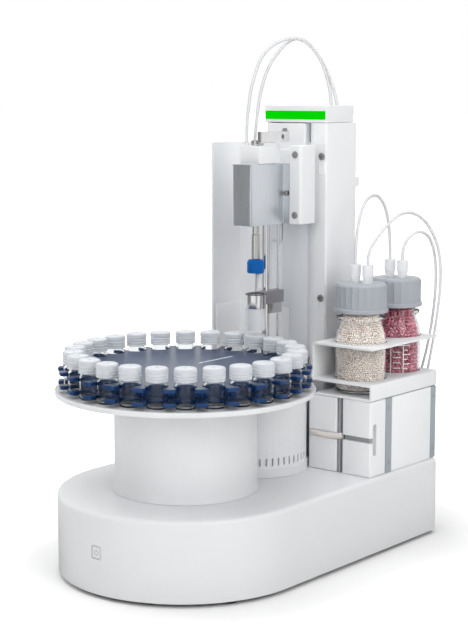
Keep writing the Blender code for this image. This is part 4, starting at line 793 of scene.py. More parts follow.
def make_base():
    """The base: its outline drawn in at the top over a quarter circle, and turned under at the foot."""
    turn = np.linspace(0.0, math.pi / 2, 9)
    wall, round_edge = 4.6, 4.5
    levels = [(wall, 60.0), (wall, 4.0), (0.8, 4.0), (0.2, 4.25), (0.0, 4.9), (0.0, 40.0)]
    levels += list(zip(round_edge * (1 - np.cos(turn)), BASE_TOP - round_edge * (1 - np.sin(turn))))
    rings = [base_ring(shrink, height) for shrink, height in levels + [(6.0, BASE_TOP)]]
    shell = (np.concatenate(rings), capped_grid(len(rings), len(rings[0])))
    base = make_piece("base_shell", shell, "housing", node="base_housing")
    key = rectangle((-6.5, 6.5), (39.9, 53.7), 1.4, 5)
    inlet = rectangle((-84, -36), (30, 58), 2.0, 4)
    carve(base, cutter(key, -140.0, -130.0, "xz"), cutter(inlet, 277.9, 285.0, "xz"))
    make_power_key()
    make_inlet()


# From the tips to the feet of the raised lines on the key, along Y
KEY_MARK = (-133.36, -133.1)


def make_power_key():
    """The key: a pad with rounded edges, a thin raised ring round it and the power symbol on it."""
    pad = rectangle((-6.1, 6.1), (40.3, 53.3), 1.1, 5)
    make_piece("power_key_pad", drawn_up(pad, -133.25, -131.5, 0.35, 3, "xz"), "housing", "key", "power_key")
    border = outline_band(rectangle((-5.3, 5.3), (41.1, 52.5), 0.9, 5), 0.32)
    angle = np.radians(np.linspace(125.0, 415.0, 40))
    lines = (arc(0.0, 46.6, 2.5, angle), np.array([(0.0, 47.2), (0.0, 50.2)]))
    strokes = [stroke(line, 0.45) for line in lines]
    make_piece("power_symbol", [border, *strokes], "symbol", "key")


def standing(rings):
    """Corners of rings drawn in the X-Z plane, each at its own Y."""
    return np.concatenate([np.stack([ring[:, 0], np.full(len(ring), y), ring[:, 1]], 1) for ring, y in rings])


def outline_band(outline, width):
    """A thin raised line along a closed outline in the X-Z plane."""
    inner = inset(outline, width)
    front, back = KEY_MARK
    return (standing([(outline, back), (outline, front), (inner, front), (inner, back)]),
            grid_faces(4, len(outline), join_rows=True))


def stroke(line, width):
    """A thin raised line along an open path in the X-Z plane."""
    along = unit(np.gradient(line, axis=0))
    side = np.stack([-along[:, 1], along[:, 0]], 1) * width / 2
    outline = np.concatenate([line + side, (line - side)[::-1]])
    count = len(outline)
    caps = [[i, i + 1, count - 2 - i, count - 1 - i] for i in range(count // 2 - 1)]
    far_caps = [[corner + count for corner in cap] for cap in caps]
    return standing([(outline, y) for y in KEY_MARK]), grid_faces(2, count) + caps + far_caps


def make_inlet():
    """The mains inlet, its switch and a row of sockets on the rear."""
    plate = rectangle((-83.5, -36.5), (30.5, 57.5), 1.8, 4)
    inlet = make_piece("mains_inlet", drawn_up(plate, 278.0, 279.4, 0.3, 2, "xz"), "dark")
    mouth = filleted([(-80, 35), (-56, 35), (-56, 50), (-60, 54), (-76, 54), (-80, 50)], 1.0, 3)
    carve(inlet, cutter(mouth, 278.4, 285.0, "xz"))
    pins = [block((x - 1, x + 1), (278.3, 279.4), (42, 48), 0.3, 2) for x in (-74, -68, -62)]
    make_piece("mains_switch", block((-52, -40), (278.4, 279.45), (34, 54), 0.5), "symbol")
    make_piece("mains_pins", pins, "steel")


# Pedestal, oven and turntable

def make_pedestal():
    """The pedestal: an upright drum that flares out to the base over its lowest 14 mm."""
    radius, flare_height = 74.2, 14.0
    rise = np.linspace(0.0, 1.0, 14)
    flare = np.stack([radius + 1.8 * (1 - rise) ** 2.2, TOWER_BOTTOM + flare_height * rise], 1)
    profile = np.concatenate([[(60.0, TOWER_BOTTOM)], flare, [(radius, 150.0), (radius, 185.8), (73.6, 186.5),
                                                              (72.0, PEDESTAL_TOP)]])
    make_piece("pedestal_drum", revolved(profile, 192), "housing", node="pedestal_housing")


def make_oven():
    """The oven's housing: a drum on a foot ring, cut round the pedestal, with a row of upright vents over a
    dark ring that paints the shade in their floors.
    """
    foot, drum = 57.2, 56.0
    profile = [(40.0, TOWER_BOTTOM), (foot, TOWER_BOTTOM), (foot, 96.6), (56.7, 97.1), (56.1, 97.1),
               (drum, 97.6), (drum, 185.9), (55.6, 186.4), (50.0, PEDESTAL_TOP)]
    oven = make_piece("oven_drum", revolved(profile, 160, NEEDLE), "housing", node="oven_housing")
    carve(oven, cylinder(76.4, 80.0, 195.0, 192))
    corners, faces = cutter(rectangle((-1.1, 1.1), (99.6, 108.0), 1.0, 4), 52.8, 60.0, "yz")
    turns = np.radians(7.2) * (np.arange(13) - 6.5) + math.radians(0.4)
    carve(oven, *[(turned(corners, turn) + (*NEEDLE, 0.0), faces) for turn in turns])
    # A dark ring in the vents' floors: painted shade for the darkness inside the vents.
    vent_shade_profile = [(40.0, 98.6), (52.6, 98.6), (52.6, 109.0), (40.0, 109.0)]
    inner = make_piece("oven_vent_painted_shade", revolved(vent_shade_profile, 96, NEEDLE), "vent_shade")
    carve(inner, cylinder(78.0, 80.0, 195.0, 96))


def make_turntable():
    """The disc with its pale rim, and the rack."""
    edge, shaft = 134.5, 5.2
    inner, lip, top = 126.0, 133.6, 192.7
    rim = filleted([(inner, DISC_BOTTOM), (edge, DISC_BOTTOM), (edge, top), (lip, top), (lip, DISC_SPLIT),
                    (inner, DISC_SPLIT)], (0, 1.6, 0.5, 0.2, 0, 0), 5)
    make_piece("disc_rim", closed_turn(rim, 256), "rim", "turntable", "turntable_disc")
    plate = [(shaft, 190.2), (133.5, 190.2), (133.5, 192.6), (133.2, DISC_TOP), (shaft, DISC_TOP)]
    make_piece("disc_plate", closed_turn(plate, 192), "disc", "turntable")
    low = DISC_BOTTOM + 0.2
    underside = [(shaft, low), (126.2, low), (126.2, DISC_SPLIT), (shaft, DISC_SPLIT)]
    make_piece("disc_underside", closed_turn(underside, 128), "rim", "turntable")
    make_rack(shaft)


def plate_outline():
    """A rack plate's outline: a circle of 131 mm with a round pocket for each vial, open outwards through a
    narrower mouth whose lips are small arcs."""
    bite, half, lip, reach = 11.0, 9.0, 2.5, 131.0
    turn = math.asin(half / bite)
    aside = half + lip
    out = math.sqrt((reach - lip) ** 2 - aside ** 2)
    near = np.linspace(math.atan2(aside, out), -math.pi / 2, 8)
    pocket = np.linspace(turn, 2 * math.pi - turn, 27)
    far = -near[::-1]
    bay = np.concatenate([arc(out, aside, lip, near), arc(VIAL_CIRCLE, 0.0, bite, pocket),
                          arc(out, -aside, lip, far)])
    return np.concatenate([turned(bay, vial_angle(index)) for index in range(VIAL_COUNT)])


def vial_angle(index):
    """Where a vial stands round the rack; the first one is under the needle."""
    return math.pi / 2 - index * 2 * math.pi / VIAL_COUNT


def make_rack(shaft):
    """The blue rack: two pocketed plates with rounded edges on a hub, and the index line on the upper one."""
    outline, thick = plate_outline(), 4.0
    plates = [drawn_up(outline, bottom, bottom + thick, 0.9, 4) for bottom in (197.0, RACK_TOP - thick)]
    make_piece("rack_plates", plates, "rack", "turntable", "vial_rack")
    hub = rectangle((shaft, 98.0), (RACK_BOTTOM, 212.0), (0.1, 0.4, 0.2, 0.1), 3)
    make_piece("rack_hub", closed_turn(hub, 160), "hub", "turntable")
    line = block((-0.2, 1.8), (20.0, 75.0), (RACK_TOP - 0.2, RACK_TOP + 0.06), 0.05, 2)
    make_piece("rack_index_line", line, "index", "turntable")


def vial_shells():
    """A vial's glass as one turned wall, its cap with faint thread lines, and the septum in its hole."""
    outer = filleted([(0.0, 0.4), (8.6, 0.0), (10.4, 0.6), (10.4, 22.8), (8.6, 25.4), (8.6, 38.4)],
                     (0, 0.8, 1.6, 1.8, 1.0, 0), 6, closed=False)
    inner = filleted([(7.4, 38.4), (7.4, 25.2), (9.4, 22.4), (9.4, 1.9), (0.0, 1.5)],
                     (0, 1.2, 1.6, 1.6, 0), 5, closed=False)
    side, hole = 11.2, 2.2
    grooves = []
    for height in (28.6, 31.4, 34.2):
        grooves += [(side, height - 0.8), (10.3, height), (side, height + 0.8)]
    cap = filleted([(8.8, 26.5), (side, 26.5), *grooves, (side, 40.2), (hole, 40.1), (hole, 39.0),
                    (8.8, 38.9)],
                   (0.1, 0.7, *[0.05] * len(grooves), 2.3, 0.3, 0.1, 0.1), 6)
    septum = [(0.0, 38.0), (7.2, 38.0), (7.2, 38.7), (2.3, 38.7), (2.0, 39.5), (0.0, 39.6)]
    return {"glass": (revolved(np.concatenate([outer, inner]), 48), "glass"),
            "cap": (closed_turn(cap, 64), "vial_cap"), "septum": (revolved(septum, 36), "septum")}


def make_vials():
    """Twenty-six vials round the rack. The glass stands for the node."""
    parts = vial_shells()
    for index in range(VIAL_COUNT):
        angle = vial_angle(index)
        spot = (VIAL_CIRCLE * math.cos(angle), VIAL_CIRCLE * math.sin(angle), VIAL_BOTTOM)
        body = "loose_vial" if index == LOOSE_VIAL else "turntable"
        vial = f"vial_{index + 1:02d}"
        for part, (shell, finish) in parts.items():
            node = vial if part == "glass" else None
            make_piece(f"{vial}_{part}", shifted(shell, spot), finish, body, node)


# Tower

# Heights of the strip's two screws, and the tower's sheet: its thickness, on its path's right, and its bends
STRIP_SCREWS = (424.9, 269.5)
TOWER_SHEET = (-2.5, 0.9)


def make_shroud():
    """The tower's bent sheet: a box round the column with a round front edge, and a wing; then its guard, the
    notched strip with two screws, the filler beside the column and a clip."""
    post = np.radians(np.linspace(270.0, 180.0, 17))
    left, right, rear = -42.0, 43.5, 241.0
    path = np.concatenate([[(left, 188.0), (left, rear), (right, rear), (right, 183.0)],
                           arc(28.7, 195.7, 12.7, post), [(16.0, 203.7)]])
    box = drawn_up(sheet_outline(path, *TOWER_SHEET), TOWER_BOTTOM, COLUMN_TOP, 0.25, 2)
    shroud = make_piece("tower_box", box, "sheet", node="tower_shroud")
    wing = sheet_outline([(-83.5, 139.5), (-83.5, 189.3), (-40.0, 189.3)], *TOWER_SHEET)
    build_on(shroud, drawn_up(wing, TOWER_BOTTOM, WING_TOP, 0.25, 2))
    guard = sheet_outline([(-81.2, 144.5), (-81.2, 187.0), (-9.7, 187.0)], -1.2, 0.6)
    make_piece("tower_guard", guard_with_round_corner(guard), "panel")
    strip_outline = rectangle((28.7, 42.7), (TOWER_BOTTOM, WING_TOP), 0.8, 4)
    strip = make_piece("tower_strip", drawn_up(strip_outline, 182.2, 183.2, 0.25, 2, "xz"), "sheet")
    carve(strip, *[cutter(rectangle((35.0, 46.0), (z - 18.7, z - 4.2), 0.6, 3), 181.0, 184.0, "xz")
                   for z in STRIP_SCREWS])
    make_piece("tower_slot_filler", block((14.7, 19.2), (188.3, 189.6), (200.0, 440.0), 0.2, 2), "column")
    make_piece("tower_strip_screws", [screw_head((38.0, 182.2, z), "-y") for z in STRIP_SCREWS], "screw")
    make_piece("tower_clip", block((40.6, 43.4), (239.0, 245.4), (389.9, 400.9), 0.5), "sheet")


def guard_with_round_corner(outline):
    """The guard drawn up to its top edge, lowered towards its right end to round that corner."""
    radius = 4.0
    corners, faces = drawn_up(outline, TOWER_BOTTOM, 256.4, 0.2, 2)
    beyond = np.clip((corners[:, 0] + 13.7) / radius, 0.0, 1.0)
    drop = radius * (1 - np.sqrt(np.clip(1 - beyond ** 2, 0.0, 1.0)))
    corners[:, 2] -= np.where(corners[:, 2] > 200.0, drop, 0.0)
    return corners, faces


def make_column():
    """The anodised column with its open channel, its dust cover, the carriage's apron and the lift screw."""
    left, right, front, rear = -38, 15, 187.3, 229.3
    channel_left, channel_right, channel_rear = -36.2, -19.8, 221.8
    outline = filleted([(left, front), (channel_left, front), (channel_left, channel_rear),
                        (channel_right, channel_rear), (channel_right, front), (right, front), (right, rear),
                        (left, rear)], (0.3, 0.3, 1, 1, 0.3, 0.4, 1, 1), 3)
    rail = drawn_up(outline, TOWER_BOTTOM, COLUMN_TOP, 0.2, 2)
    make_piece("column_rail", rail, "column", node="tower_column")
    cover = block((-36.1, -19.9), (187.8, 188.8), (TOWER_BOTTOM, 330.5), 0.2, 2)
    make_piece("column_dust_cover", cover, "column")
    apron = block((-35.6, -20.4), (186.6, 187.25), (328.5, 356.0), 0.15, 2)
    make_piece("carriage_apron", apron, "column", "lift_head")
    make_lift_screw()


def make_lift_screw():
    """The screw: its radius swings between 4.1 and 5 mm with the height plus the angle's share of the
    lead."""
    segments, lead, starts = 32, 8.0, 2
    height = np.linspace(TOWER_BOTTOM + 1.0, COLUMN_TOP - 1.0, 750)[:, None]
    angle = round_angles(segments)[None, :]
    phase = (height / lead * starts - angle / (2 * math.pi) * starts) % 1.0
    radius = 4.55 + 0.45 * np.clip(np.cos(phase * 2 * math.pi) * 1.8, -1.0, 1.0)
    thread = (around(LIFT_SCREW, radius, angle, height), capped_grid(len(height), segments))
    make_piece("lift_screw_thread", thread, "steel", "screw", "lift_screw", 60.0)


def make_top_cap():
    """The tower's cap with its light strip in front and two tube ports on top."""
    outline = rectangle((-42, 42), (183, 236), 1.6, 5)
    cap = make_piece("cap_shell", drawn_up(outline, CAP_BOTTOM, CAP_TOP, 0.8, 4), "sheet", node="top_cap")
    carve(cap, block((-41.5, 41.5), (175.0, 186.8), (464.5, 474.0), 0.4, 2))
    carve(cap, *[cylinder(2.8, PORT_FLOOR, 485.0, 32, spot) for spot in CAP_PORTS])
    light = rectangle((-41.2, 41.2), (182.5, 186.5), 0.8, 4)
    make_piece("status_strip", drawn_up(light, 464.8, 473.7, 0.7, 4), "light", node="status_light")


# Lift head

def make_head():
    """The carriage and bracket, the grey cover, the white body, the needle with its clamp, and the nut."""
    front = filleted([(21, 146), (37, 146), (37, 172), (21, 172)], (1.2, 3.2, 1.2, 1.2), 7)
    bracket = make_piece("head_bracket", block((-38, 14.6), (182.0, 187.0), (HEAD_Z, 460.4), 0.5), "sheet",
                         "lift_head", "lift_bracket")
    build_on(bracket, block((-14, 27), (170.3, 182.3), (358.1, 432.1), 0.4),
             drawn_up(front, HEAD_Z, 437.1, 0.7, 4))
    tongue = block((-34.2, -21.8), (186.6, 217.8), (383.1, 413.1), 0.5)
    tongue = make_piece("head_nut_block", tongue, "column", "lift_head")
    carve(tongue, cylinder(5.3, 380.0, 416.0, 48, LIFT_SCREW))
    heads = [screw_head((29.0, 146.0, z), "-y", 3.7, 1.2) for z in (362.6, 427.6)]
    heads.append(screw_head((17.2, 145.4, 386.0), "-y", 2.9, 1.2))
    make_piece("head_screws", heads, "screw", "lift_head")
    make_cover()
    make_head_body()
    make_needle()
    make_nut()


def make_cover():
    """The cover: a sheet folded round the head, its top closed, with a flange on its right."""
    half, front, rear = 13.0, 91.0, 147.0
    path = [(20.5, rear), (half, rear), (half, front), (-half, front), (-half, rear)]
    folded = sheet_outline(path, -1.6, 0.7, 5)
    shell = drawn_up(folded, HEAD_Z, COVER_TOP, 0.2, 2)
    cover = make_piece("cover_shell", shell, "grey", "lift_head", "head_cover")
    build_on(cover, block((-12.9, 12.9), (91.1, 104.7), (416.5, COVER_TOP), 0.4, 2))


def make_head_body():
    """The white body with its block on top."""
    width = (-11.1, 11.1)
    core = block(width, (92.9, 148.6), (HEAD_Z + 0.4, 416.2), 0.6)
    body = make_piece("body_block", core, "sheet", "lift_head", "head_body")
    build_on(body, block(width, (105, 147), (385.6, 419.0), 0.3, 2),
             block((-14, 13), (105, 135), (418.4, BODY_TOP), 0.8, 4),
             block((-14, 8), (134.7, 147), (418.4, BODY_TOP), 0.6, 3),
             block((-14, 20.6), (147.3, 170.0), (HEAD_Z, 416.6), 0.6, 3))
    carve(body, cylinder(4.3, 340.0, 445.0, 40, NEEDLE))
    carve(body, cylinder(THICK_BORE, 340.0, 413.6, 40, THICK_ROD))
    carve(body, cylinder(THIN_BORE, 340.0, 413.6, 24, THIN_ROD))
    collar = [(1.75, BODY_TOP), (2.9, BODY_TOP), (2.9, 439.6), (2.5, 440.4), (1.75, 440.4)]
    collars = [closed_turn(collar, 32, spot) for spot in HEAD_PORTS]
    make_piece("head_tube_collars", collars, "milky", "lift_head")


def make_needle():
    """The needle in its steel holder, the clamp bar above the head, and the outlet tube beside it."""
    stem = filleted([(0.0, 254.1), (0.7, 257.6), (0.7, 315.7), (4.8, 315.7), (4.8, 341.0), (4.2, 343.0),
                     (4.0, 343.1), (4.0, 437.9), (5.2, 437.9), (5.2, 443.3), (0.0, 443.3)],
                    (0, 0.3, 0, 0.5, 0.3, 0.2, 0, 0, 0.2, 0.6, 0), 4, closed=False)
    holder = make_piece("needle_stem", revolved(stem, 48, NEEDLE), "steel", "lift_head", "needle_holder")
    build_on(holder, block((0.5, 8.5), (111.5, 118.5), (438.3, 442.9), 0.4, 2))
    bar = block((7.5, 13), (108, 157), (440.8, 452.6), 0.5)
    clamp = make_piece("needle_clamp", bar, "chrome", "lift_head")
    corners, faces = cylinder(2.6, 0.0, 20.0, 36)
    carve(clamp, (corners[:, [2, 0, 1]] + (11.2, 145.0, 446.7), faces))
    make_piece("needle_clamp_screw", screw_head((11.3, 145.0, 446.7), "+x", 2.4, 1.4), "screw", "lift_head")
    knob = filleted([(0.0, 452.3), (2.4, 452.3), (2.4, 455.2), (2.0, 455.8), (0.0, 455.8)],
                    (0, 0, 0.2, 0.3, 0), 3, closed=False)

    def ridges(angle, rows):
        return 0.12 * np.cos(angle * 16) * (rows[:, :1] > 2.2)

    make_piece("needle_clamp_knob", revolved(knob, 48, (10.25, 152.2), ridges), "screw", "lift_head")
    outlet = rectangle((2.5, 3.1), (284.5, 301.5), (0.2, 0.3, 0.1, 0.1), 3)
    make_piece("needle_outlet_tube", closed_turn(outlet, 48, (2.3, 118.1)), "milky", "lift_head")


def make_nut():
    """The blue nut under the needle's holder, with twelve grip flutes on its side."""
    nut = filleted([(1.3, 300.8), (8.6, 300.8), (9.3, 301.6), (9.3, 312.6), (7.6, 315.4), (1.3, 315.4)],
                   (0, 0.6, 0.3, 0.8, 0.8, 0), 5)

    def grips(angle, rows):
        on_side = ((rows[:, 0] > 9.0) & (rows[:, 1] > 302.0) & (rows[:, 1] < 312.0)).astype(float)[:, None]
        return -0.25 * on_side * np.clip(np.cos(angle * 12) * 2.0, 0.0, 1.0)

    make_piece("nut_grip", closed_turn(nut, 144, NEEDLE, grips), "nut", "lift_head", "needle_nut")


def make_sleeve():
    """The hold-down: a polished ring over a clear sleeve, with a dark rim, the bar behind and its tab."""
    inside = 9.9
    turned_parts = (
        ("ring", (inside, 11.2), (262.6, SLEEVE_TOP), (0.1, 0.3, 0.3, 0.2), 4, "chrome", "hold_down_sleeve"),
        ("skirt", (inside, 10.8), (238.4, 262.4), (0.2, 0.4, 0.1, 0.1), 4, "lower_sleeve", None),
        ("rim", (9.7, 11.24), (277.2, 278.38), 0.2, 3, "dark", None))
    for name, radii, heights, rounds, steps, finish, node in turned_parts:
        shell = closed_turn(rectangle(radii, heights, rounds, steps), 96, NEEDLE)
        make_piece(f"sleeve_{name}", shell, finish, "hold_down", node)
    bar = make_piece("sleeve_bar", block((-13, -1), (122.5, 166.5), (264.2, 278.1), 0.5), "bar", "hold_down")
    bores = ((11.25, 96, NEEDLE), (THICK_BORE, 48, THICK_ROD), (THIN_BORE, 32, THIN_ROD))
    for radius, segments, spot in bores:
        carve(bar, cylinder(radius, 250.0, 290.0, segments, spot))
    tab = block((-2.2, -1.0), (140.5, 163.0), (253.2, 264.3), 0.3, 2)
    make_piece("sleeve_tab", tab, "steel", "hold_down")


def make_guide_rods():
    """The two upright guide rods on the bracket that comes off the column."""
    bracket = [block((-13, -1), (137, 166.5), (195.9, 204.9), 0.5),
               block((-9.4, -1), (165.0, 187.0), (196.0, 204.8), 0.4)]
    make_piece("guide_rod_bracket", bracket, "steel", node="guide_rods")
    thick = revolved([(4.25, 204.5), (4.25, 360.6), (3.9, 361.1)], 64, THICK_ROD)
    thin = revolved([(1.5, 204.5), (1.5, 360.8), (1.2, 361.1)], 40, THIN_ROD)
    make_piece("guide_rod_shafts", [thick, thin], "chrome")


# Gas drying unit

def make_gas_unit():
    """The unit: two white front covers with a groove whose floor is a grey plate of painted shade, a grey
    frame, a grey seam plate between the covers over a dark backing of painted shade, a white side panel and
    its screws."""
    bottom, top = UNIT_HEIGHTS
    box = block((47, 84.5), COVER_DEPTH, UNIT_HEIGHTS, 1.2, 4)
    left = make_piece("unit_left_cover", box, "panel", node="gas_unit_left_cover")
    groove, channel = 126.8, 4.3
    channel_outline = rectangle((151.2, 140.0), (groove - channel, groove + channel), 0.4, 2)
    carve(left, cutter(channel_outline, 40.0, 90.0, "yz"))
    box = block((92, UNIT_RIGHT), COVER_DEPTH, UNIT_HEIGHTS, 1.2, 4)
    right = make_piece("unit_right_cover", box, "panel", node="gas_unit_right_cover")
    for across in ((88.0, 124.0), (120.0, 135.0)):
        carve(right, block(across, (140.0, 155.0), (groove - 3.0, groove + 3.0), 0.6, 2))
    carve(right, cutter(rectangle((154.6, 160.8), (109.3, 144.3), 2.9, 6), 123.5, 135.0, "yz"))
    # Grey plates on the groove's floor and the slot's side: painted shade for the recess.
    liner = [block((92.5, 123.6), (154.4, 155.4), (123.6, 130.0), 0.1, 1),
             block((122.9, 123.9), (154.4, 161.2), (109.0, 144.6), 0.1, 1)]
    make_piece("unit_groove_painted_shade", liner, "liner")
    box = block((47, UNIT_RIGHT), (COVER_DEPTH[1] + 0.3, UNIT_DEPTH[1]), UNIT_HEIGHTS, 0.5, 2)
    body = make_piece("unit_frame", box, "frame", node="gas_unit_body")
    carve(body, block((126.5, 140), (189.8, 268.0), (70.0, 180.0), 0.2, 1))
    make_piece("unit_seam_plate", block((86.6, 88.9), (150.6, 179.4), UNIT_HEIGHTS, 0.3, 2), "liner")
    # A dark brown block behind the seam plate: painted shade for the deep gap between the covers.
    painted_seam_shade = block((84.4, 92.1), (158.0, 179.4), (bottom + 0.1, top - 0.1), 0.05, 1)
    make_piece("unit_seam_painted_shade", painted_seam_shade, "seam")
    panel = block((126.8, UNIT_RIGHT), (190.1, 267.7), UNIT_HEIGHTS, 0.5, 3)
    make_piece("unit_side_panel", panel, "panel", node="gas_unit_side_panel")
    heads = [screw_head((128.7, y, z), "+x", 1.9, 0.55) for y in (184.5, 273.3) for z in (97.5, 158.0)]
    make_piece("unit_screws", heads, "screw")
    make_transfer_tube()
    make_ports()


def make_transfer_tube():
    """The cream tube in the left cover's channel, slightly bowed, with a sleeve at its right end."""
    start, end = 48.5, 91.5
    x = np.linspace(start, end, 30)
    share = (x - start) / (end - start)
    bow = 1.6 * np.sin(share * math.pi)
    radius = 2.0 + 1.2 * np.minimum(1.0, share * 3.0) ** 0.6
    tube = tube_along(np.stack([x, 151.4 - bow, 127.6 - bow], 1), radius, 28)
    make_piece("unit_transfer_tube", tube, "transfer")


def make_ports():
    """The port block behind the unit with its two ridged barbs."""
    make_piece("unit_port_block", block((80, 110), (278.2, 296.5), (99.9, 121.9), 1.0, 3), "frame")
    thick = 2.6
    ridges = [(0.0, 121.7), (thick, 121.7)]
    for step in range(3):
        ridges += [(2.0, 125.2 + step * 3.2), (thick, 124.0 + (step + 1) * 3.2)]
    ridges += [(1.9, 135.9), (0.0, 135.9)]
    make_piece("unit_port_barbs", [revolved(ridges, 32, (x, 292.5)) for x in (89.5, 100.5)], "milky")


# Bottle holder and bottles

def make_holder():
    """One sheet bent into an S in the X-Z plane, with round holes for the bottles in its two upper plates."""
    left, right, low, middle, high = 52.4, 129.5, 169.0, 186.8, 223.8
    path = [(56.0, low), (right, low), (right, middle), (left, middle), (left, high), (right, high)]
    sheet = drawn_up(sheet_outline(path, 2.4, 0.6, 4), *UNIT_DEPTH, 0.25, 2, "xz")
    holder = make_piece("holder_sheet", sheet, "sheet", node="bottle_holder")
    carve(holder, *[cylinder(28.7, 180.0, 235.0, 96, (BOTTLE_X, y)) for y in BOTTLE_YS])


def bottle_glass(centre):
    """A bottle's glass wall: a long sloping shoulder, a round collar under the cap and the mouth inside."""
    outer = filleted([(0.0, 1.2), (23.0, 0.0), (GLASS_RADIUS, 1.6), (GLASS_RADIUS, 58.5), (26.6, 66.0),
                      (24.0, 72.5), (23.4, 78.4), (26.2, 78.8), (27.0, 81.0), (26.2, 83.2), (23.0, 83.6),
                      (19.5, 86.6), (19.5, 112.8)],
                     (0, 2.0, 4.0, 9.0, 7.0, 4.0, 0.5, 1.4, 1.4, 1.4, 0.5, 0.6, 0), 6, closed=False)
    inner = filleted([(17.4, 112.8), (17.4, 86.4), (21.6, 80.0), (21.8, 73.4), (24.8, 65.0), (26.2, 58.0),
                      (26.2, 3.2), (0.0, 2.6)], (0, 2.0, 3.0, 4.0, 8.0, 8.0, 3.0, 0), 6, closed=False)
    return shifted(revolved(np.concatenate([outer, inner]), 96, centre), (0.0, 0.0, BOTTLE_BOTTOM))


# The bottle's bore: heights above its foot, and the radius at each
BORE = ((0.0, 57.0, 65.0, 73.4, 80.0, 86.4, 120.0), (26.1, 26.0, 24.6, 21.6, 21.4, 17.2, 17.2))


def bead_places(top, size):
    """Where the beads lie in a bottle: in rings against the glass, stacked a little under their size apart
    and each turned by half a bead from the last, and in a level layer on top."""
    foot, rise, gap = 4.0, size * 0.9, size * 0.97
    rings = []
    for row in range(int((top - foot) / rise)):
        height = foot + 0.2 + size / 2 + row * rise
        wall = np.interp(height, *BORE) - size / 2
        rings.append((wall, height, int(2 * math.pi * wall / gap), 0.5 * (row % 2)))
    for radius in np.arange(size, np.interp(top, *BORE), size):
        rings.append((radius, top, max(1, int(2 * math.pi * radius / size)), 0.0))
    places = []
    for radius, height, count, turn in rings:
        angle = (np.arange(count) + turn) * 2 * math.pi / count
        places.append(around((0.0, 0.0), np.full(count, radius), angle, height))
    return np.concatenate(places)


def make_filling(name, finish, centre, top, size, seed):
    """The beads as small balls, moved and sized a little at random but kept inside the glass."""
    chance = np.random.default_rng(seed)
    places = bead_places(top, size)
    places += chance.normal(0.0, size * 0.09, places.shape) * (0.5, 0.5, 1.0)
    reach = np.linalg.norm(places[:, :2], axis=1)
    limit = np.interp(places[:, 2], *BORE) + 0.1 - size / 2
    places[:, :2] *= np.minimum(1.0, limit / np.maximum(reach, 1e-6))[:, None]
    sizes = size / 2 * chance.uniform(0.9, 1.1, len(places))
    ball, faces = revolved([(0.0, -1.0), (0.72, -0.7), (1.0, 0.0), (0.72, 0.7), (0.0, 1.0)], 7)
    corners = (places[:, None] + ball * sizes[:, None, None]).reshape(-1, 3) + (*centre, BOTTLE_BOTTOM)
    faces = np.array(faces) + np.arange(len(places))[:, None, None] * len(ball)
    mesh = mesh_of(name, [(corners, faces.reshape(-1, 4).tolist())])
    tone = mesh.attributes.new("grain_tone", "FLOAT", "POINT")
    tone.data.foreach_set("value", np.repeat(chance.uniform(0.0, 1.0, len(places)), len(ball)))
    finish_piece(mesh, finish, "stand", angle=80.0)


def make_bottles():
    """Both bottles: glass, printed scale, filling with a plain core behind the beads, cap and fittings."""
    top = 84.5
    fillings = (("cream", 2.6, 11, 130.0), ("crimson", 4.0, 12, -38.0))
    for number, (y, (colour, size, seed, facing)) in enumerate(zip(BOTTLE_YS, fillings), start=1):
        centre = (BOTTLE_X, y)
        bottle = f"bottle_{number}"
        glass = make_piece(f"{bottle}_glass", bottle_glass(centre), "bottle_glass", node=f"drying_{bottle}")
        scale = make_piece(f"{bottle}_scale", printed_scale(centre, facing), "print")
        make_filling(f"{bottle}_beads", colour, centre, top, size, seed)
        core = revolved([(0.0, 4.0), (23.2, 4.0), (23.2, 56.0), (21.6, 64.5), (18.8, 73.0), (16.0, top - 2.0),
                         (0.0, top - 2.0)], 48, centre)
        make_piece(f"{bottle}_core", shifted(core, (0, 0, BOTTLE_BOTTOM)), colour)
        make_bottle_cap(number, centre)


def printed_scale(centre, facing):
    """A plain scale printed on the glass: an upright line with long and short ticks, and an empty field
    beside it. Each mark is an arc from a start to an end along the glass, between two heights."""
    near, far = GLASS_RADIUS + 0.02, GLASS_RADIUS + 0.1
    low, high, line = 14.0, 46.0, 0.8
    marks = [(0.0, 1.0, low, high), (-14.0, 0.0, high - line, high), (-14.0, 0.0, low, low + line),
             (-14.0, -13.0, low + line, high - line)]
    marks += [(1.0, 9.0 if step % 2 == 0 else 5.5, low + 5.2 * step, 14.9 + 5.2 * step) for step in range(7)]
    marks += [(-11.0, -3.0, 20.0 + 6.0 * step, 20.8 + 6.0 * step) for step in range(4)]
    shells = []
    for start, end, bottom, top in marks:
        count = max(2, int((end - start) / 1.5) + 1)
        angle = math.radians(facing) + np.linspace(start, end, count) / GLASS_RADIUS
        rings = [(near, bottom), (far, bottom), (far, top), (near, top)]
        corners = np.concatenate([around(centre, np.full(count, radius), angle, height + BOTTLE_BOTTOM)
                                  for radius, height in rings])
        faces = grid_faces(4, count, join_columns=False, join_rows=True)
        faces += [[0, count, 2 * count, 3 * count], [count - 1, 4 * count - 1, 3 * count - 1, 2 * count - 1]]
        shells.append((corners, faces))
    return shells


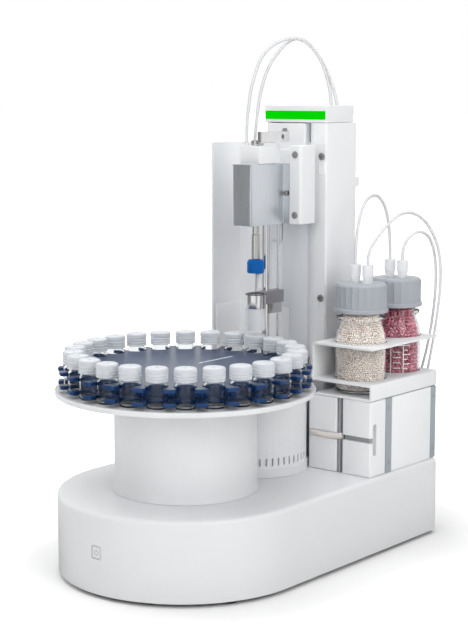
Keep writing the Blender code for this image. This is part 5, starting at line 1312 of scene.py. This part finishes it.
def make_bottle_cap(number, centre):
    """A screw cap with broad soft flutes over a plain ring, and two stepped milky fittings on top."""
    outline = filleted([(19.9, 0.0), (28.9, 0.0), (29.4, 0.6), (29.4, 3.8), (28.2, 4.6), (28.0, 5.2),
                        (28.0, 29.0), (25.8, 31.0), (0.0, 31.0), (0.0, 27.5), (19.9, 27.5)],
                       (0, 0.3, 0.3, 0.4, 0.3, 0.3, 1.6, 0.8, 0, 0, 0), 4)

    def flutes(angle, rows):
        on_side = ((rows[:, 0] > 26.5) & (rows[:, 0] < 28.1) & (rows[:, 1] > 5.0)).astype(float)[:, None]
        return -0.75 * on_side * np.abs(np.sin(angle * 12)) ** 0.6

    cap = shifted(closed_turn(outline, 384, ribs=flutes), (*centre, CAP_SEAT))
    make_piece(f"bottle_{number}_cap", cap, "cap", node=f"bottle_cap_{number}")
    profile = filleted([(0.0, 30.8), (5.2, 30.8), (5.3, 37.4), (6.2, 38.8), (6.2, 50.9), (0.0, 50.9)],
                       (0, 0, 0.7, 0.5, 0.8, 0), 4, closed=False)
    fittings = [shifted(revolved(profile, 48, (centre[0] + side, centre[1])), (0.0, 0.0, CAP_SEAT))
                for side in (-8.3, 8.3)]
    make_piece(f"bottle_{number}_fittings", fittings, "milky")


# Room and light

# How much the floor glows white for the camera, by distance in metres from the line under the base's middle:
# the full glow far out is the white backdrop, the weak glow near the base is painted shade round it
FLOOR_GLOW_AND_PAINTED_SHADE = ((0.13, 0.0), (0.17, 0.02), (0.24, 0.15), (0.34, 0.5), (1.0, 1.0))

# Each lamp's place, aim, size and power
LAMPS = {
    "key": ((2.6, -0.6, 1.5), (0.0, 0.0, 0.2), (1.6, 1.8), 34.0),
    "top": ((-0.2, 0.0, 2.6), (0.0, 0.05, 0.1), (2.2, 2.2), 50.0),
    "left": ((-2.8, -0.6, 1.3), (0.0, 0.0, 0.2), (1.6, 1.6), 25.0),
    "front": ((0.5, -2.9, 1.4), (0.0, 0.0, 0.2), (1.6, 1.6), 22.0),
}
AMBIENT = 0.22


def make_room():
    """A pale floor, soft lamps, and a surround that is white for the camera, the studio's ring for mirrors
    and faint as a light."""
    floor_mesh = bpy.data.meshes.new("floor")
    floor_mesh.from_pydata([(-30, -30, 0), (30, -30, 0), (30, 30, 0), (-30, 30, 0)], [], [[0, 1, 2, 3]])
    floor_mesh.materials.append(floor_finish())
    add_object("floor", floor_mesh)
    world = bpy.data.worlds.new("studio")
    bpy.context.scene.world = world
    world.use_nodes = True
    tree = world.node_tree
    back = tree.nodes["Background"]
    screens = use_group(tree, "screens", add_node(tree, "TexCoord").outputs["Generated"])
    feed(tree, back.inputs["Color"], for_mirrors(tree, 1.0, screens["Tone"]))
    feed(tree, back.inputs["Strength"], camera_only(tree, 1.0, AMBIENT))
    for name, settings in LAMPS.items():
        add_lamp(name, *settings)


def floor_finish():
    """White paper that glows for the camera, the more the farther it is from the line under the base's
    middle: the line's nearest place is the floor's own, held between the line's two ends on each axis. The
    weak glow near the base paints a soft shade round it."""
    material, tree, skin = start_material("floor_white", "skin", Grain=30.0, Drift=2.0)
    place = tree.nodes["Texture Coordinate"].outputs["Object"]
    screens = use_group(tree, "screens", place)
    ahead = add_node(tree, "VectorMath", place, (0.0, AXIS_Y * MM, 0.0), operation="MAXIMUM")
    nearest = add_node(tree, "VectorMath", ahead.outputs["Vector"], (0.0, 0.1, 0.0), operation="MINIMUM")
    far = add_node(tree, "VectorMath", place, nearest.outputs["Vector"], operation="DISTANCE")
    # The glow is weakest near the base: painted shade round it.
    glow = ramp(tree, far.outputs["Value"], FLOOR_GLOW_AND_PAINTED_SHADE)
    return fill(material, {
        "Base Color": for_mirrors(tree, two_tones(tree, skin["Tone"], 0.9, 0.905), 0.02),
        "Roughness": 0.9,
        "Specular IOR Level": 0.0,
        "Emission Color": for_mirrors(tree, 1.0, screens["Tone"]),
        "Emission Strength": camera_only(tree, glow)})


def camera_only(tree, seen, otherwise=0.0):
    """A strength for what the camera, mirrors and glass see, and another for the light that falls."""
    rays = add_node(tree, "LightPath").outputs
    first = add_node(tree, "Math", rays["Is Camera Ray"], rays["Is Glossy Ray"], operation="MAXIMUM")
    second = add_node(tree, "Math", first.outputs[0], rays["Is Transmission Ray"], operation="MAXIMUM")
    level = add_node(tree, "MapRange", Value=second.outputs[0], To_Min=otherwise, To_Max=seen)
    return level.outputs["Result"]


def for_mirrors(tree, plain, mirrored):
    """What a mirror sees in place of a plain colour."""
    return mixed(tree, add_node(tree, "LightPath").outputs["Is Glossy Ray"], plain, mirrored)


def add_lamp(name, place, aim, size, power):
    """A soft rectangular lamp aimed at a point."""
    lamp = bpy.data.lights.new(name, "AREA")
    lamp.shape = "RECTANGLE"
    lamp.size, lamp.size_y = size
    lamp.energy = power
    holder = add_object(name, lamp)
    holder.visible_glossy = False
    holder.location = place
    holder.rotation_euler = (Vector(aim) - Vector(place)).to_track_quat("-Z", "Y").to_euler()


def dress_kept_nodes():
    """Finishes for the solids that are shown as they are."""
    for node, finish in (("base_plate", "foot"), ("turntable_shaft", "steel")):
        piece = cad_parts[node]
        piece.data.materials.clear()
        piece.data.materials.append(FINISHES[finish])


def main():
    """The camera and the tubes, then every other piece, then the room."""
    for step in (make_camera, make_finishes, make_tubes, make_base, make_pedestal, make_oven, make_turntable,
                 make_vials, make_shroud, make_column, make_top_cap, make_head, make_sleeve, make_guide_rods,
                 make_gas_unit, make_holder, make_bottles, make_room, dress_kept_nodes):
        step()
    bpy.context.scene.view_settings.view_transform = "Standard"


main()
